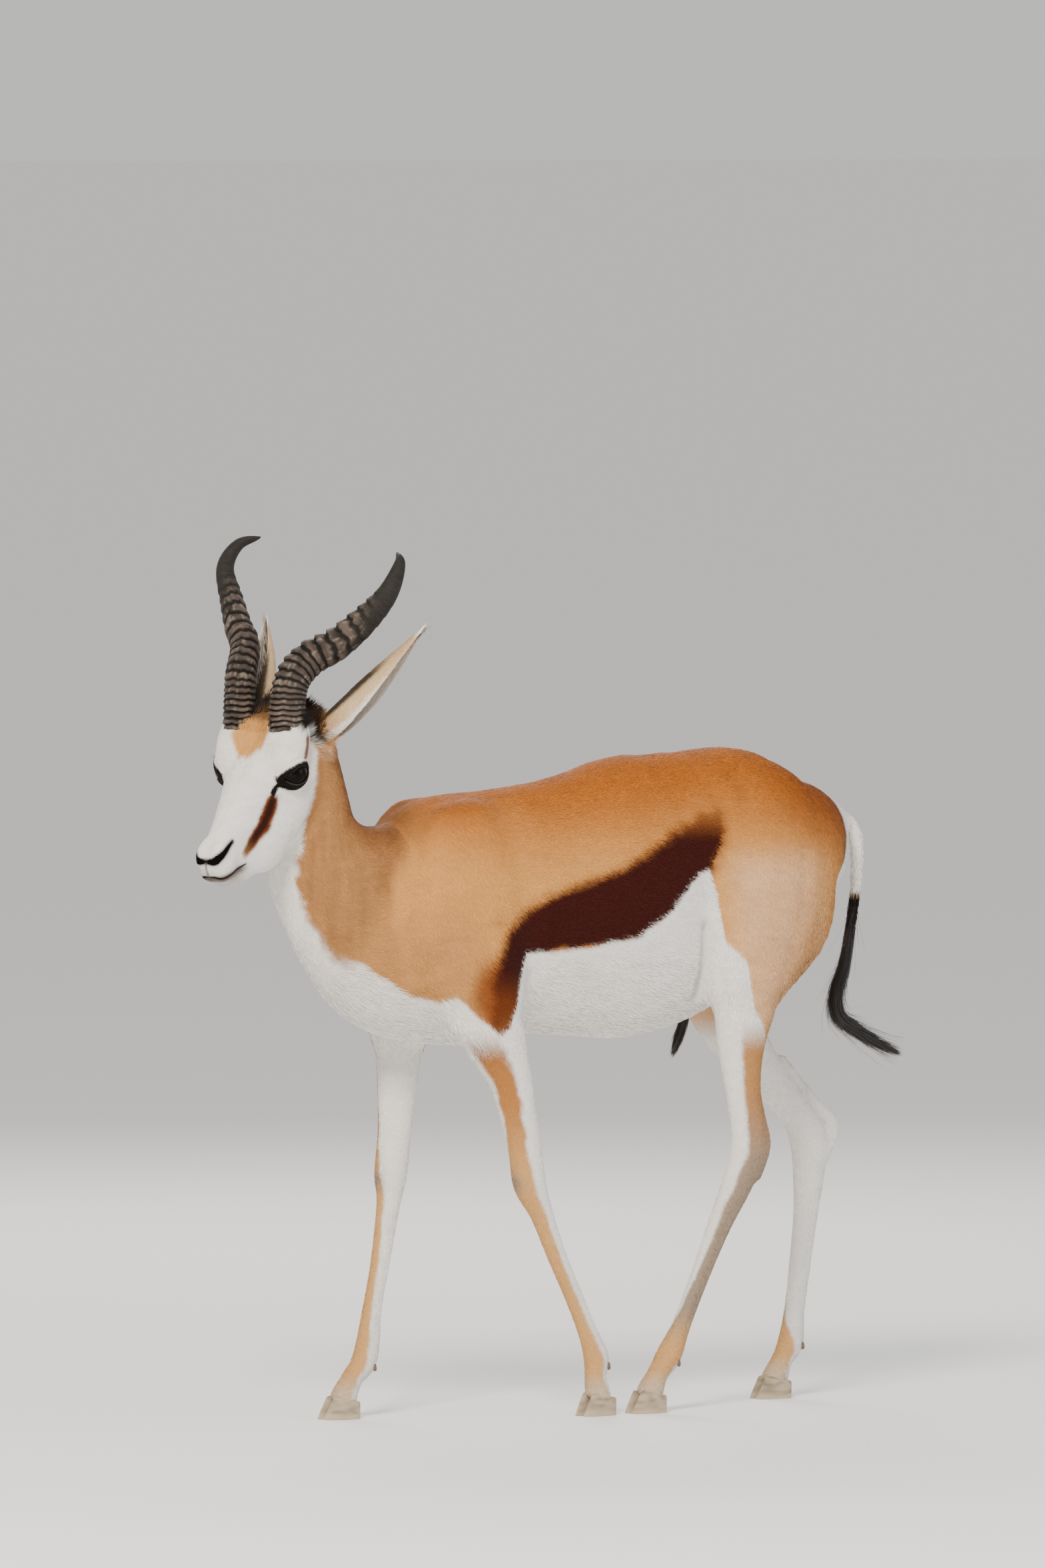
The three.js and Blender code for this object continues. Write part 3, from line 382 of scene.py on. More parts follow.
class Sweep:
    """A body of elliptic section along a smooth line, with round ends."""

    FAR = 60.0

    def __init__(
        self, sections: Array | Rows, across: Array = np.array([0, 1.0, 0]), egg: float = 0, steps: int = 5
    ) -> None:
        """Args:
        sections: rows of x, y, z, half depth and half width.
        across: the way in which the width is measured.
        egg: how much wider the section is towards its rise.
        steps: straight pieces between two sections.
        """
        table = np.array(sections, float)
        rows, slope = smooth_line(table, np.linspace(0, 1, (len(table) - 1) * steps + 1))
        self.at, self.size = rows[:, :3], rows[:, 3:5]
        self.along = unit(slope[:, :3])
        self.side = unit(across - (self.along @ across)[:, None] * self.along)
        self.rise = np.cross(self.side, self.along)
        self.egg = egg
        reach = table[:, 3:5].max() + self.FAR
        self.low, self.high = self.at.min(0) - reach, self.at.max(0) + reach

    def local(self, p: Array) -> Local:
        """Place beside the nearest part of the line, for rows of points."""
        near = np.argmin((self.at**2).sum(1) - 2 * p @ self.at.T, axis=1)
        best = np.full(len(p), np.inf)
        index = np.zeros(len(p), int)
        part = np.zeros(len(p))
        for step in (-1, 0):
            i = np.clip(near + step, 0, len(self.at) - 2)
            start, run = self.at[i], self.at[i + 1] - self.at[i]
            s = np.clip(((p - start) * run).sum(1) / (run * run).sum(1), 0, 1)
            far = ((p - start - s[:, None] * run) ** 2).sum(1)
            use = far < best
            best, index, part = np.where(use, far, best), np.where(use, i, index), np.where(use, s, part)
        blend = part[:, None]
        off = p - (self.at[index] * (1 - blend) + self.at[index + 1] * blend)
        size = self.size[index] * (1 - blend) + self.size[index + 1] * blend
        side = (off * self.side[index]).sum(1)
        rise = (off * self.rise[index]).sum(1)
        deep = size[:, 0]
        wide = size[:, 1] * (1 + self.egg * np.clip(rise / deep, -1, 1))
        rest = np.sqrt(np.maximum(0, best - side * side))
        k0 = np.hypot(rest / deep, side / wide)
        k1 = np.hypot(rest / deep**2, side / wide**2)
        distance = np.where(k1 > 0, k0 * (k0 - 1) / np.maximum(k1, 1e-9), -np.minimum(deep, wide))
        return Local(distance, side, rise, deep, wide, self.along[index])

    def distance(self, p: Array) -> Array:
        """Signed distance for rows of points, rough where they are far away."""
        gap = np.maximum(np.maximum(self.low - p, p - self.high), 0)
        result = self.FAR + np.linalg.norm(gap, axis=1)
        inside = ~gap.any(axis=1)
        if inside.any():
            result[inside] = self.local(p[inside]).distance
        return result


class Head:
    """The head's own directions and its flesh."""

    def __init__(self) -> None:
        ahead = np.array([-math.cos(HEAD_YAW), -math.sin(HEAD_YAW), 0])
        left = np.array([math.sin(HEAD_YAW), -math.cos(HEAD_YAW), 0])
        up = np.array([0, 0, 1.0])
        face = ahead * math.cos(HEAD_PITCH) - up * math.sin(HEAD_PITCH)
        stand = ahead * math.sin(HEAD_PITCH) + up * math.cos(HEAD_PITCH)
        self.ways = np.array([self._rolled(v, ahead) for v in (face, stand, left)])
        self.ahead, self.out = ahead, left
        skull = [[*self.point(f, u, l), deep, wide] for f, u, l, deep, wide in SKULL]
        self.skull = Sweep(skull, self.ways[2], SKULL_EGG)
        self.low = HEAD_AT - 330
        self.high = HEAD_AT + 190

    @staticmethod
    def _rolled(v: Array, axis: Array) -> Array:
        """A vector turned about the level forward axis by the head's roll."""
        c, s = math.cos(-HEAD_ROLL), math.sin(-HEAD_ROLL)
        return v * c + np.cross(axis, v) * s + axis * (axis @ v) * (1 - c)

    def point(self, f: float, u: float, l: float) -> Array:
        """A place given down the face, off the face and to the left."""
        return HEAD_AT + np.array([f, u, l]) @ self.ways

    def own(self, p: Array) -> Array:
        """Rows of points in the head's own f, u and l."""
        return (p - HEAD_AT) @ self.ways.T

    def near(self, p: Array) -> Array:
        """Which points lie in the box round the head."""
        return ((p > self.low) & (p < self.high)).all(axis=1)

    @staticmethod
    def poll(f: Array, l: Array) -> Array:
        """1 on the edge of the dark patch behind each horn, and less within it."""
        return np.hypot((f + 33) / 26, (np.abs(l) - 36) / 30)

    def way(self, f: float, u: float, l: float) -> Array:
        """A direction given in the head's own f, u and l."""
        return unit(np.array([f, u, l]) @ self.ways)

    @staticmethod
    def _bulge(q: Array, spec: tuple[float, ...], side: int) -> Array:
        """Distance from an ellipsoid, for points in the head's own directions."""
        radii = np.array(spec[3:])
        part = (q - np.array([spec[0], spec[1], spec[2] * side])) / radii
        k0 = np.linalg.norm(part, axis=1)
        k1 = np.linalg.norm(part / radii, axis=1)
        return np.where(k1 > 0, k0 * (k0 - 1) / np.maximum(k1, 1e-9), -radii.min())

    def distance(self, p: Array) -> Array:
        """Signed distance of the head without its ears, horns and hollows."""
        q = self.own(p)
        d = self.skull.distance(p)
        for side in (1, -1):
            for spec in BULGES_BIG:
                d = joined(d, self._bulge(q, spec, side), BLEND_HEAD)
        for spec in BULGES_SMALL:
            for side in (1, -1) if spec[2] else (1,):
                d = joined(d, self._bulge(q, spec, side), BLEND_SMALL)
        return d


def lid_edges(a: Array) -> tuple[Array, Array]:
    """How far each lid's edge lies from the eye's long way, at places from -1 to 1 along it."""
    arch = np.maximum(1 - a * a, 0)
    return EYE_HIGH * LID_UPPER * arch * (1 - 0.12 * a), EYE_HIGH * LID_LOWER * arch * (1 + 0.12 * a)


def horn_line(head: Head, path: Rows, side: int) -> Array:
    """Points of a horn's middle line, given outwards, ahead and up from the head's origin."""
    ways = np.array([head.out * side, head.ahead, [0, 0, 1.0]])
    return np.array(path) @ ways + HEAD_AT


@dataclass(frozen=True)
class Groove:
    """A soft groove or ridge on both sides of the body, drawn in side view along a line."""

    line: Rows
    height: float
    width: float

    def lift(self, x: Array, z: Array) -> Array:
        """How far the skin is lifted at places in side view."""
        best = np.full(len(x), np.inf)
        for (ax, az), (bx, bz) in zip(self.line, self.line[1:]):
            run = np.array([bx - ax, bz - az])
            s = np.clip(((x - ax) * run[0] + (z - az) * run[1]) / (run @ run), 0, 1)
            best = np.minimum(best, (x - ax - s * run[0]) ** 2 + (z - az - s * run[1]) ** 2)
        return self.height * np.exp(-best / self.width**2)


# Folds and muscle edges of the trunk: a line of x and z, how far it stands out, and its half width.
FOLDS = (
    Groove(((-262, 790), (-285, 690), (-296, 610)), 3.0, 17),
    Groove(((-333, 700), (-338, 640), (-318, 580)), -4.0, 16),
    Groove(((-178, 770), (-160, 680), (-152, 600)), -3.0, 24),
    Groove(((-215, 640), (-196, 585), (-186, 540)), 3.0, 15),
    Groove(((-150, 560), (-158, 520)), -4.0, 12),
    Groove(((84, 756), (112, 712), (112, 660)), -4.5, 28),
    Groove(((146, 812), (156, 792)), 3.5, 17),
    Groove(((108, 626), (112, 590), (112, 540)), -9.0, 7),
    Groove(((146, 585), (140, 545)), 4.0, 18),
    Groove(((262, 720), (250, 650), (222, 575), (212, 520)), -2.4, 13),
    Groove(((205, 760), (196, 690), (176, 610)), 2.2, 26),
)


class Flesh:
    """The whole body under the coat, as a signed distance in millimetres."""

    COAT = 3.0
    COAT_HEAD = 1.5
    COAT_FOOT = 1.1

    def __init__(self) -> None:
        self.head = Head()
        self.trunk = Sweep(TRUNK, egg=TRUNK_EGG, steps=16)
        self.neck = Sweep(NECK, steps=12)
        self.legs = {
            "front_left": Sweep(FORELEG_LEFT),
            "front_right": Sweep(FORELEG_RIGHT),
            "hind_left": Sweep(HINDLEG_LEFT),
            "hind_right": Sweep(HINDLEG_RIGHT),
        }
        self.cords = (Sweep(HEEL_CORD_LEFT), Sweep(HEEL_CORD_RIGHT))
        self.dock = Sweep(TAIL_DOCK)
        self.eyes = {s: self.head.point(*EYE_AT[:2], EYE_AT[2] * s.value) for s in Side}
        self.ear_bases = {s: self.head.point(*EAR_BASE[:2], EAR_BASE[2] * s.value) for s in Side}
        self.ear_tips = {Side.LEFT: np.array(EAR_TIP_LEFT), Side.RIGHT: np.array(EAR_TIP_RIGHT)}
        self.stubs = [self._ear_stub(s) for s in Side]
        self.eye_frames = {s: self._eye_frame(s) for s in Side}
        self.mouths = [self._on_head(MOUTH, s) for s in Side]
        self.nostrils = [self._nostril(s) for s in Side]
        self.horn_feet = [horn_line(self.head, HORN_LEFT, 1)[:3], horn_line(self.head, HORN_RIGHT, -1)[:3]]

    def _ear_stub(self, side: Side) -> Sweep:
        """The fleshy root of an ear."""
        inner = self.head.point(-26, -58, 26 * side.value)
        base = self.ear_bases[side]
        out = base + unit(self.ear_tips[side] - base) * 6
        rows = [[*inner, 23, 23], [*(inner * 0.4 + base * 0.6), 21, 21], [*out, 17, 17]]
        return Sweep(rows, self.head.ways[2])

    def _eye_frame(self, side: Side) -> Array:
        """Across, up and out of an eye, as rows, with up towards the brow."""
        look = self.head.way(EYE_LOOK[0], EYE_LOOK[1], EYE_LOOK[2] * side.value)
        fore = self.head.way(math.cos(EYE_SLANT), math.sin(EYE_SLANT), 0)
        fore = unit(fore - fore @ look * look)
        up = np.cross(look, fore)
        if up @ self.head.ways[1] < 0:
            up = -up
        return np.array([fore, up, look])

    def _surface(self, start: Array, way: Array) -> Array:
        """Where a ray from inside the head meets its surface."""
        low, high = 0.0, 90.0
        for _ in range(16):
            middle = (low + high) / 2
            inside = self.head.distance((start + way * middle)[None])[0] < 0
            low, high = (middle, high) if inside else (low, middle)
        return start + way * low

    def _on_head(self, line: Rows, side: Side) -> Array:
        """A line of f and u laid on one side of the head."""
        spots = []
        rows, _ = smooth_line(np.array(line, float), np.linspace(0, 1, 16))
        for i, (f, u) in enumerate(rows):
            start = self.head.point(min(f, 188) - 6, u, 0)
            aside = 1.0 if i == 0 else 6 + 10 * min(1, i / 6)
            aim = self.head.point(f, u, aside * side.value)
            spots.append(self._surface(start, unit(aim - start)))
        return np.array(spots)

    def _nostril(self, side: Side) -> Array:
        """Centres and radii of one nostril's comma."""
        rows = []
        for f, u, l, r in NOSTRIL:
            start = self.head.point(f - 16, u - 8, (l - 6) * side.value)
            aim = self.head.point(f, u, l * side.value)
            rows.append([*self._surface(start, unit(aim - start)), r])
        return np.array(rows)

    def parts(self, p: Array) -> tuple[Array, Array]:
        """Signed distances of the body without its head and of the head, for rows of points."""
        d = self.trunk.distance(p)
        for leg in self.legs.values():
            d = joined(d, leg.distance(p), BLEND_LIMB)
        for cord in self.cords:
            d = joined(d, cord.distance(p), BLEND_SMALL)
        d = joined(d, self.dock.distance(p), BLEND_SMALL * 2)
        d = joined(d, self.neck.distance(p), BLEND_NECK)
        near = self.head.near(p)
        face = np.full(len(p), 200.0)
        if near.any():
            face[near] = self.head.distance(p[near])
        return d, face

    def _relief(self, p: Array) -> Array:
        """Lift of the skin by muscles, folds and tendons."""
        x, y, z = p.T
        lift = np.zeros(len(p))
        for fold in FOLDS:
            lift += fold.lift(x, z)
        lift *= ramp(25, 60, np.abs(y)) * ramp(470, 520, z) * ramp(860, 830, z)
        for leg in self.legs.values():
            near = (z > 85) & (z < 420) & (((p > leg.low + 45) & (p < leg.high - 45)).all(axis=1))
            if not near.any():
                continue
            spot = leg.local(p[near])
            height = z[near]
            cannon = ramp(90, 120, height) * ramp(280, 240, height)
            groove = np.exp(-(((spot.rise + 3.5) / 3.2) ** 2)) * cannon * 1.5
            lift[near] -= groove * (np.abs(spot.side) > 2) * (spot.distance < 12)
        return lift

    def _feet(self, p: Array) -> Array:
        """Distance above the slanting planes in which the skin ends at the hooves."""
        x, y, z = p.T
        result = np.full(len(p), -200.0)
        for fx, fy, _ in FEET.values():
            near = (np.abs(x - fx) < 60) & (np.abs(y - fy) < 45) & (z < 70)
            plane = HOOF_HEIGHT - 4 - HOOF_SLOPE * (x - fx - 8) - z
            result = np.where(near, plane, result)
        return result

    def _hollows(self, p: Array, d: Array) -> Array:
        """The head's distance with eye openings, nostrils and the line of the lips cut in."""
        for side in Side:
            off = p - self.eyes[side]
            q = off @ self.eye_frames[side].T
            ball = np.linalg.norm(off, axis=1)
            d = joined(d, ball - EYE_RADIUS - 1.9, 9)
            a = q[:, 0] / (EYE_WIDE / 2)
            upper, lower = lid_edges(a)
            open_part = np.maximum(q[:, 1] - upper, -q[:, 1] - lower)
            open_part = np.maximum(open_part, np.abs(q[:, 0]) - EYE_WIDE / 2)
            open_part = np.maximum(open_part * 0.85, np.maximum(EYE_RADIUS - 5 - ball, -q[:, 2]))
            d = carved(d, open_part, 1.6)
            fold = np.abs(np.hypot(q[:, 0] / 1.25, q[:, 1] - 2) - 18.5)
            d += 1.3 * np.exp(-((fold / 2.0) ** 2)) * (q[:, 2] > 0) * (q[:, 1] > 3) * (ball < 34)
            gland = q - np.array([26.0, -10.0, 12.0])
            d += 2.2 * np.exp(-((gland[:, 0] / 11) ** 2 + (gland[:, 1] / 3.2) ** 2)) * (q[:, 2] > -8)
        for line in self.mouths:
            d = carved(d, distance_to(p, line) - 1.3, 2.0)
        for comma in self.nostrils:
            d = carved(d, distance_to(p, comma[:, :3], comma[:, 3] * 0.85), 2.0)
        return d

    def skin(self, p: Array) -> Array:
        """Signed distance of the bare skin, which lies under the coat."""
        body, face = self.parts(p)
        d = joined(body, face, BLEND_HEAD)
        near = face < 60
        if near.any():
            q = p[near]
            part = d[near]
            for stub in self.stubs:
                part = joined(part, stub.distance(q), 12)
            d[near] = part
        headed = ramp(-14, 14, body - face)
        foot = ramp(500, 300, p[:, 2])
        d = d + self.COAT + (self.COAT_FOOT - self.COAT) * foot + (self.COAT_HEAD - self.COAT) * headed
        d -= self._relief(p)
        if near.any():
            d[near] = self._hollows(p[near], d[near])
        return np.maximum(d, self._feet(p))

    @staticmethod
    def before_shoulders(p: Array) -> Array:
        """How far points lie ahead of the slanting plane between trunk and neck."""
        return (p - np.array([-352, 0, 668])) @ np.array([-0.86, 0, 0.51])

    def slope(self, p: Array, step: float = 0.7) -> tuple[Array, Array]:
        """Skin distance and its slope at rows of points."""
        here = self.skin(p)
        ahead = [self.skin(p + np.eye(3)[k] * step) for k in range(3)]
        return here, (np.array(ahead).T - here[:, None]) / step


def distance_to(p: Array, line: Array, radii: Array | None = None) -> Array:
    """Distance of points from a line of straight pieces.

    Args:
        p: rows of points.
        line: the corners of the line.
        radii: a radius at each corner, which is taken off the distance.
    Returns:
        One number a point.
    """
    best = np.full(len(p), np.inf)
    for k in range(len(line) - 1):
        run = line[k + 1] - line[k]
        s = np.clip((p - line[k]) @ run / (run @ run), 0, 1)
        far = np.linalg.norm(p - line[k] - s[:, None] * run, axis=1)
        if radii is not None:
            far = far - (radii[k] * (1 - s) + radii[k + 1] * s)
        best = np.minimum(best, far)
    return best


@dataclass
class Surface:
    """Vertices in millimetres and faces of three or four corners, with values on each vertex."""

    spots: Array
    faces: Array
    colour: Array | None = None
    bake: Array | None = None


def sheet_faces(rows: int, columns: int, ring: bool = False) -> Array:
    """Quads over a grid of points in rows, closed round its columns if ring."""
    i, j = np.meshgrid(np.arange(rows - 1), np.arange(columns if ring else columns - 1), indexing="ij")
    a = i * columns + j
    b = i * columns + (j + 1) % columns
    return np.stack([a, b, b + columns, a + columns], -1).reshape(-1, 4)


def merged(parts: list[Surface]) -> Surface:
    """Several surfaces of the same kind as one."""
    starts = np.cumsum([0] + [len(s.spots) for s in parts[:-1]])
    wide = max(s.faces.shape[1] for s in parts)
    faces = []
    for surface, start in zip(parts, starts):
        f = surface.faces + start
        if f.shape[1] < wide:
            f = np.hstack([f, f[:, -1:]])
        faces.append(f)
    colour = np.vstack([s.colour for s in parts]) if parts[0].colour is not None else None
    bake = np.vstack([s.bake for s in parts]) if parts[0].bake is not None else None
    return Surface(np.vstack([s.spots for s in parts]), np.vstack(faces), colour, bake)


def outward(surface: Surface) -> Surface:
    """A closed surface with its faces turned outwards: its volume, summed over the faces, is positive."""
    p, f = surface.spots - surface.spots.mean(0), surface.faces
    volume = 0.0
    for a, b, c in ((0, 1, 2), (0, 2, 3)):
        volume += (p[f[:, a]] * np.cross(p[f[:, b]], p[f[:, c]])).sum()
    if volume < 0:
        surface.faces = mirrored(f)
    return surface


def mirrored(faces: Array) -> Array:
    """Faces turned round, with the repeated corner of a triangle kept at the end."""
    turned_round = faces[:, ::-1].copy()
    three = faces[:, 2] == faces[:, 3]
    turned_round[three] = faces[three][:, [2, 1, 0, 0]]
    return turned_round


class Net:
    """Turns a signed distance into one closed mesh of even quads.

    The distance is read on a coarse grid first, and again on a fine one only near the surface. Each
    fine cell that the surface passes gets one vertex, in the middle of where it crosses the cell's
    edges, and the four cells round a crossed edge make a quad.
    """

    COARSE = 13.0
    AT_ONCE = 60000

    def __init__(self, body: Flesh) -> None:
        self.body = body

    @staticmethod
    def axis(low: float, high: float, step: float, fine: tuple[float, float], fine_step: float) -> Array:
        """Grid lines along one axis, closer together within the fine stretch.

        Args:
            low: place of the first line.
            high: where the lines end.
            step: how far apart they are.
            fine: start and end of the stretch of closer lines.
            fine_step: how far apart those are.
        Returns:
            The places of the lines.
        """
        first = np.arange(low, fine[0], step)
        middle = np.arange(fine[0], fine[1], fine_step)
        return np.concatenate([first, middle, np.arange(middle[-1] + step, high, step)])

    @staticmethod
    def _stretched(values: Array, old: Array, new: Array, k: int) -> Array:
        """Values on a grid read between its lines along one axis."""
        i = np.clip(np.searchsorted(old, new) - 1, 0, len(old) - 2)
        part = np.clip((new - old[i]) / (old[i + 1] - old[i]), 0, 1)
        shape = [1, 1, 1]
        shape[k] = -1
        part = part.reshape(shape).astype(np.float32)
        return np.take(values, i, axis=k) * (1 - part) + np.take(values, i + 1, axis=k) * part

    def _read(self, p: Array) -> Array:
        """Skin distance of many points, in pieces that fit in memory."""
        return np.concatenate([self.body.skin(q) for q in np.array_split(p, max(1, len(p) // self.AT_ONCE))])

    def build(self, lines: tuple[Array, Array, Array]) -> Surface:
        """The surface over the grid of those lines."""
        coarse = [np.arange(v[0], v[-1] + self.COARSE, self.COARSE) for v in lines]
        grid = np.stack(np.meshgrid(*coarse, indexing="ij"), -1).reshape(-1, 3)
        values = self._read(grid).reshape([len(v) for v in coarse]).astype(np.float32)
        for k in range(3):
            values = self._stretched(values, coarse[k], lines[k], k)
        near = np.abs(values) < self.COARSE * 0.8
        spots = np.stack([lines[k][i] for k, i in enumerate(np.nonzero(near))], -1)
        values[near] = self._read(spots)
        return self._project(self._cells(values, lines))

    @staticmethod
    def _cells(values: Array, lines: tuple[Array, Array, Array]) -> Surface:
        """One vertex for each crossed cell and one quad for each crossed edge."""
        inside = values < 0
        offsets = list(np.ndindex(2, 2, 2))
        nx, ny, nz = (n - 1 for n in inside.shape)
        corners = [inside[i : nx + i, j : ny + j, k : nz + k] for i, j, k in offsets]
        count = np.sum(corners, axis=0, dtype=np.int8)
        active = np.nonzero((count > 0) & (count < 8))
        name = np.full(count.shape, -1, np.int32)
        name[active] = np.arange(len(active[0]))
        at = [np.stack([lines[n][active[n] + o[n]] for n in range(3)], -1) for o in offsets]
        read = [values[active[0] + o[0], active[1] + o[1], active[2] + o[2]] for o in offsets]
        total = np.zeros((len(active[0]), 3))
        crossed = np.zeros(len(active[0]))
        for a in range(8):
            for k in range(3):
                if offsets[a][k]:
                    continue
                b = a + (4, 2, 1)[k]
                cut = (read[a] < 0) != (read[b] < 0)
                part = np.where(cut, read[a] / np.where(cut, read[a] - read[b], 1), 0)[:, None]
                total += np.where(cut[:, None], at[a] + (at[b] - at[a]) * part, 0)
                crossed += cut
        faces = []
        for k in range(3):
            n, m = (k + 1) % 3, (k + 2) % 3
            low = [slice(1, -1)] * 3
            high = [slice(1, -1)] * 3
            low[k], high[k] = slice(0, -1), slice(1, None)
            changed = np.nonzero(inside[tuple(low)] != inside[tuple(high)])
            cell = [changed[0], changed[1], changed[2]]
            cell[n], cell[m] = cell[n] + 1, cell[m] + 1
            ring = []
            for dn, dm in ((-1, -1), (0, -1), (0, 0), (-1, 0)):
                spot = list(cell)
                spot[n], spot[m] = spot[n] + dn, spot[m] + dm
                ring.append(name[tuple(spot)])
            quads = np.stack(ring, -1)
            out = inside[tuple(cell)]
            quads[~out] = quads[~out][:, ::-1]
            faces.append(quads)
        return Surface(total / crossed[:, None], np.vstack(faces))

    def _project(self, surface: Surface, rounds: int = 2) -> Surface:
        """Moves each vertex onto the surface along its slope."""
        p = surface.spots
        for _ in range(rounds):
            moved = []
            for q in np.array_split(p, max(1, len(p) // self.AT_ONCE)):
                d, g = self.body.slope(q)
                size = np.maximum((g * g).sum(1), 0.25)
                shift = g * (d / size)[:, None]
                length = np.linalg.norm(shift, axis=1, keepdims=True)
                moved.append(q - shift * np.minimum(1, 2.5 / np.maximum(length, 1e-6)))
            p = np.concatenate(moved)
        surface.spots = p
        return outward(surface)


def normals(surface: Surface) -> Array:
    """Smooth outward directions of a surface's vertices."""
    p, f = surface.spots, surface.faces
    face = np.cross(p[f[:, 2]] - p[f[:, 0]], p[f[:, 3]] - p[f[:, 1]])
    result = np.zeros_like(p)
    for k in range(4):
        for axis in range(3):
            result[:, axis] += np.bincount(f[:, k], face[:, axis], len(p))
    return unit(result)


class Frame:
    """Moves shapes from the animal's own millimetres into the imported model's metres."""

    def __init__(self, eye: Array) -> None:
        """eye is where the left eye lies in the animal's own millimetres."""
        low, high = (np.array(v) * 1000 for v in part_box("eye_left"))
        self.shift = (low + high) / 2 - eye

    def metres(self, p: Array) -> Array:
        """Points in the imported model's frame."""
        return (p + self.shift) / 1000


def add_node(tree: bpy.types.NodeTree, kind: str, links: dict | None = None, **settings) -> bpy.types.Node:
    """One shader node with its settings, and with its sockets set to values or linked.

    Args:
        tree: the material's or world's nodes.
        kind: the node's type name.
        links: socket name or number to a value, or to an output socket.
        settings: plain properties of the node.
    Returns:
        The new node.
    """
    node = tree.nodes.new(kind)
    for name, value in settings.items():
        setattr(node, name, value)
    for name, value in (links or {}).items():
        if isinstance(value, bpy.types.NodeSocket):
            tree.links.new(value, node.inputs[name])
        else:
            node.inputs[name].default_value = value
    return node


@dataclass(frozen=True)
class Finish:
    """A surface whose colour is painted on its vertices, with fine relief from streaks.

    grain is the size of the streaks in metres across the three axes, and relief their depth in metres.
    """

    name: str
    rough: float = 0.7
    specular: float = 0.3
    sheen: float = 0.0
    gloss: float = 0.0
    grain: tuple[float, float, float] = (0.004, 0.001, 0.001)
    relief: float = 0.0

    def material(self) -> bpy.types.Material:
        """The finish as a Blender material."""
        made = bpy.data.materials.new(self.name)
        made.use_nodes = True
        tree = made.node_tree
        shader = tree.nodes["Principled BSDF"]
        paint = add_node(tree, "ShaderNodeAttribute", attribute_name="paint", attribute_type="GEOMETRY")
        tree.links.new(paint.outputs["Color"], shader.inputs["Base Color"])
        shader.inputs["Roughness"].default_value = self.rough
        shader.inputs["Specular IOR Level"].default_value = self.specular
        shader.inputs["Sheen Weight"].default_value = self.sheen
        shader.inputs["Sheen Roughness"].default_value = 0.45
        shader.inputs["Coat Weight"].default_value = self.gloss
        shader.inputs["Coat Roughness"].default_value = 0.05
        if self.relief:
            place = add_node(tree, "ShaderNodeTexCoord")
            scale = tuple(1 / size for size in self.grain)
            spot = add_node(tree, "ShaderNodeMapping", {"Vector": place.outputs["Object"], "Scale": scale})
            lines = {"Vector": spot.outputs[0], "Scale": 1.0, "Detail": 3.0, "Roughness": 0.6}
            streak = add_node(tree, "ShaderNodeTexNoise", lines)
            raised = {"Height": streak.outputs[0], "Distance": self.relief, "Strength": 1.0}
            bump = add_node(tree, "ShaderNodeBump", raised)
            tree.links.new(bump.outputs[0], shader.inputs["Normal"])
        return made


# Skin under the hair: matt, with streaks of hair lying from head to tail.
HIDE = Finish("short hair close to the skin", 0.8, 0.1, 0.0, 0.0, (0.007, 0.0012, 0.0016), 0.0012)
# Single tufts: a faint shine along the hair, so the coat keeps its full colour.
HAIR = Finish("short coat hair", 0.6, 0.14, 0.02)
# Long dark hair: a stronger shine in strands.
DARK_HAIR = Finish("coarse dark hair", 0.42, 0.45, 0.1)
# Horn sheath: a dull shine broken by fine lines that run up the horn.
HORN = Finish("ringed horn sheath", 0.6, 0.2, 0.0, 0.0, (0.0009, 0.0009, 0.012), 0.0008)
# Hoof wall: dry and dusty, with level growth lines.
HOOF = Finish("dry hoof wall", 0.68, 0.3, 0.0, 0.0, (0.02, 0.02, 0.0012), 0.0005)
# Eyeball: wet and very dark.
WET_EYE = Finish("wet dark eye", 0.07, 0.04, 0.0, 0.12)
# Bare black skin of the lids: a slight moist shine.
BARE = Finish("bare black skin", 0.45, 0.3, 0.0, 0.1)
# Painted shade in the nostrils and the mouth's line: a dull dark sheet, so that it reads as depth.
OPENING_SHADE = Finish("dull painted shade in openings", 0.8, 0.05)


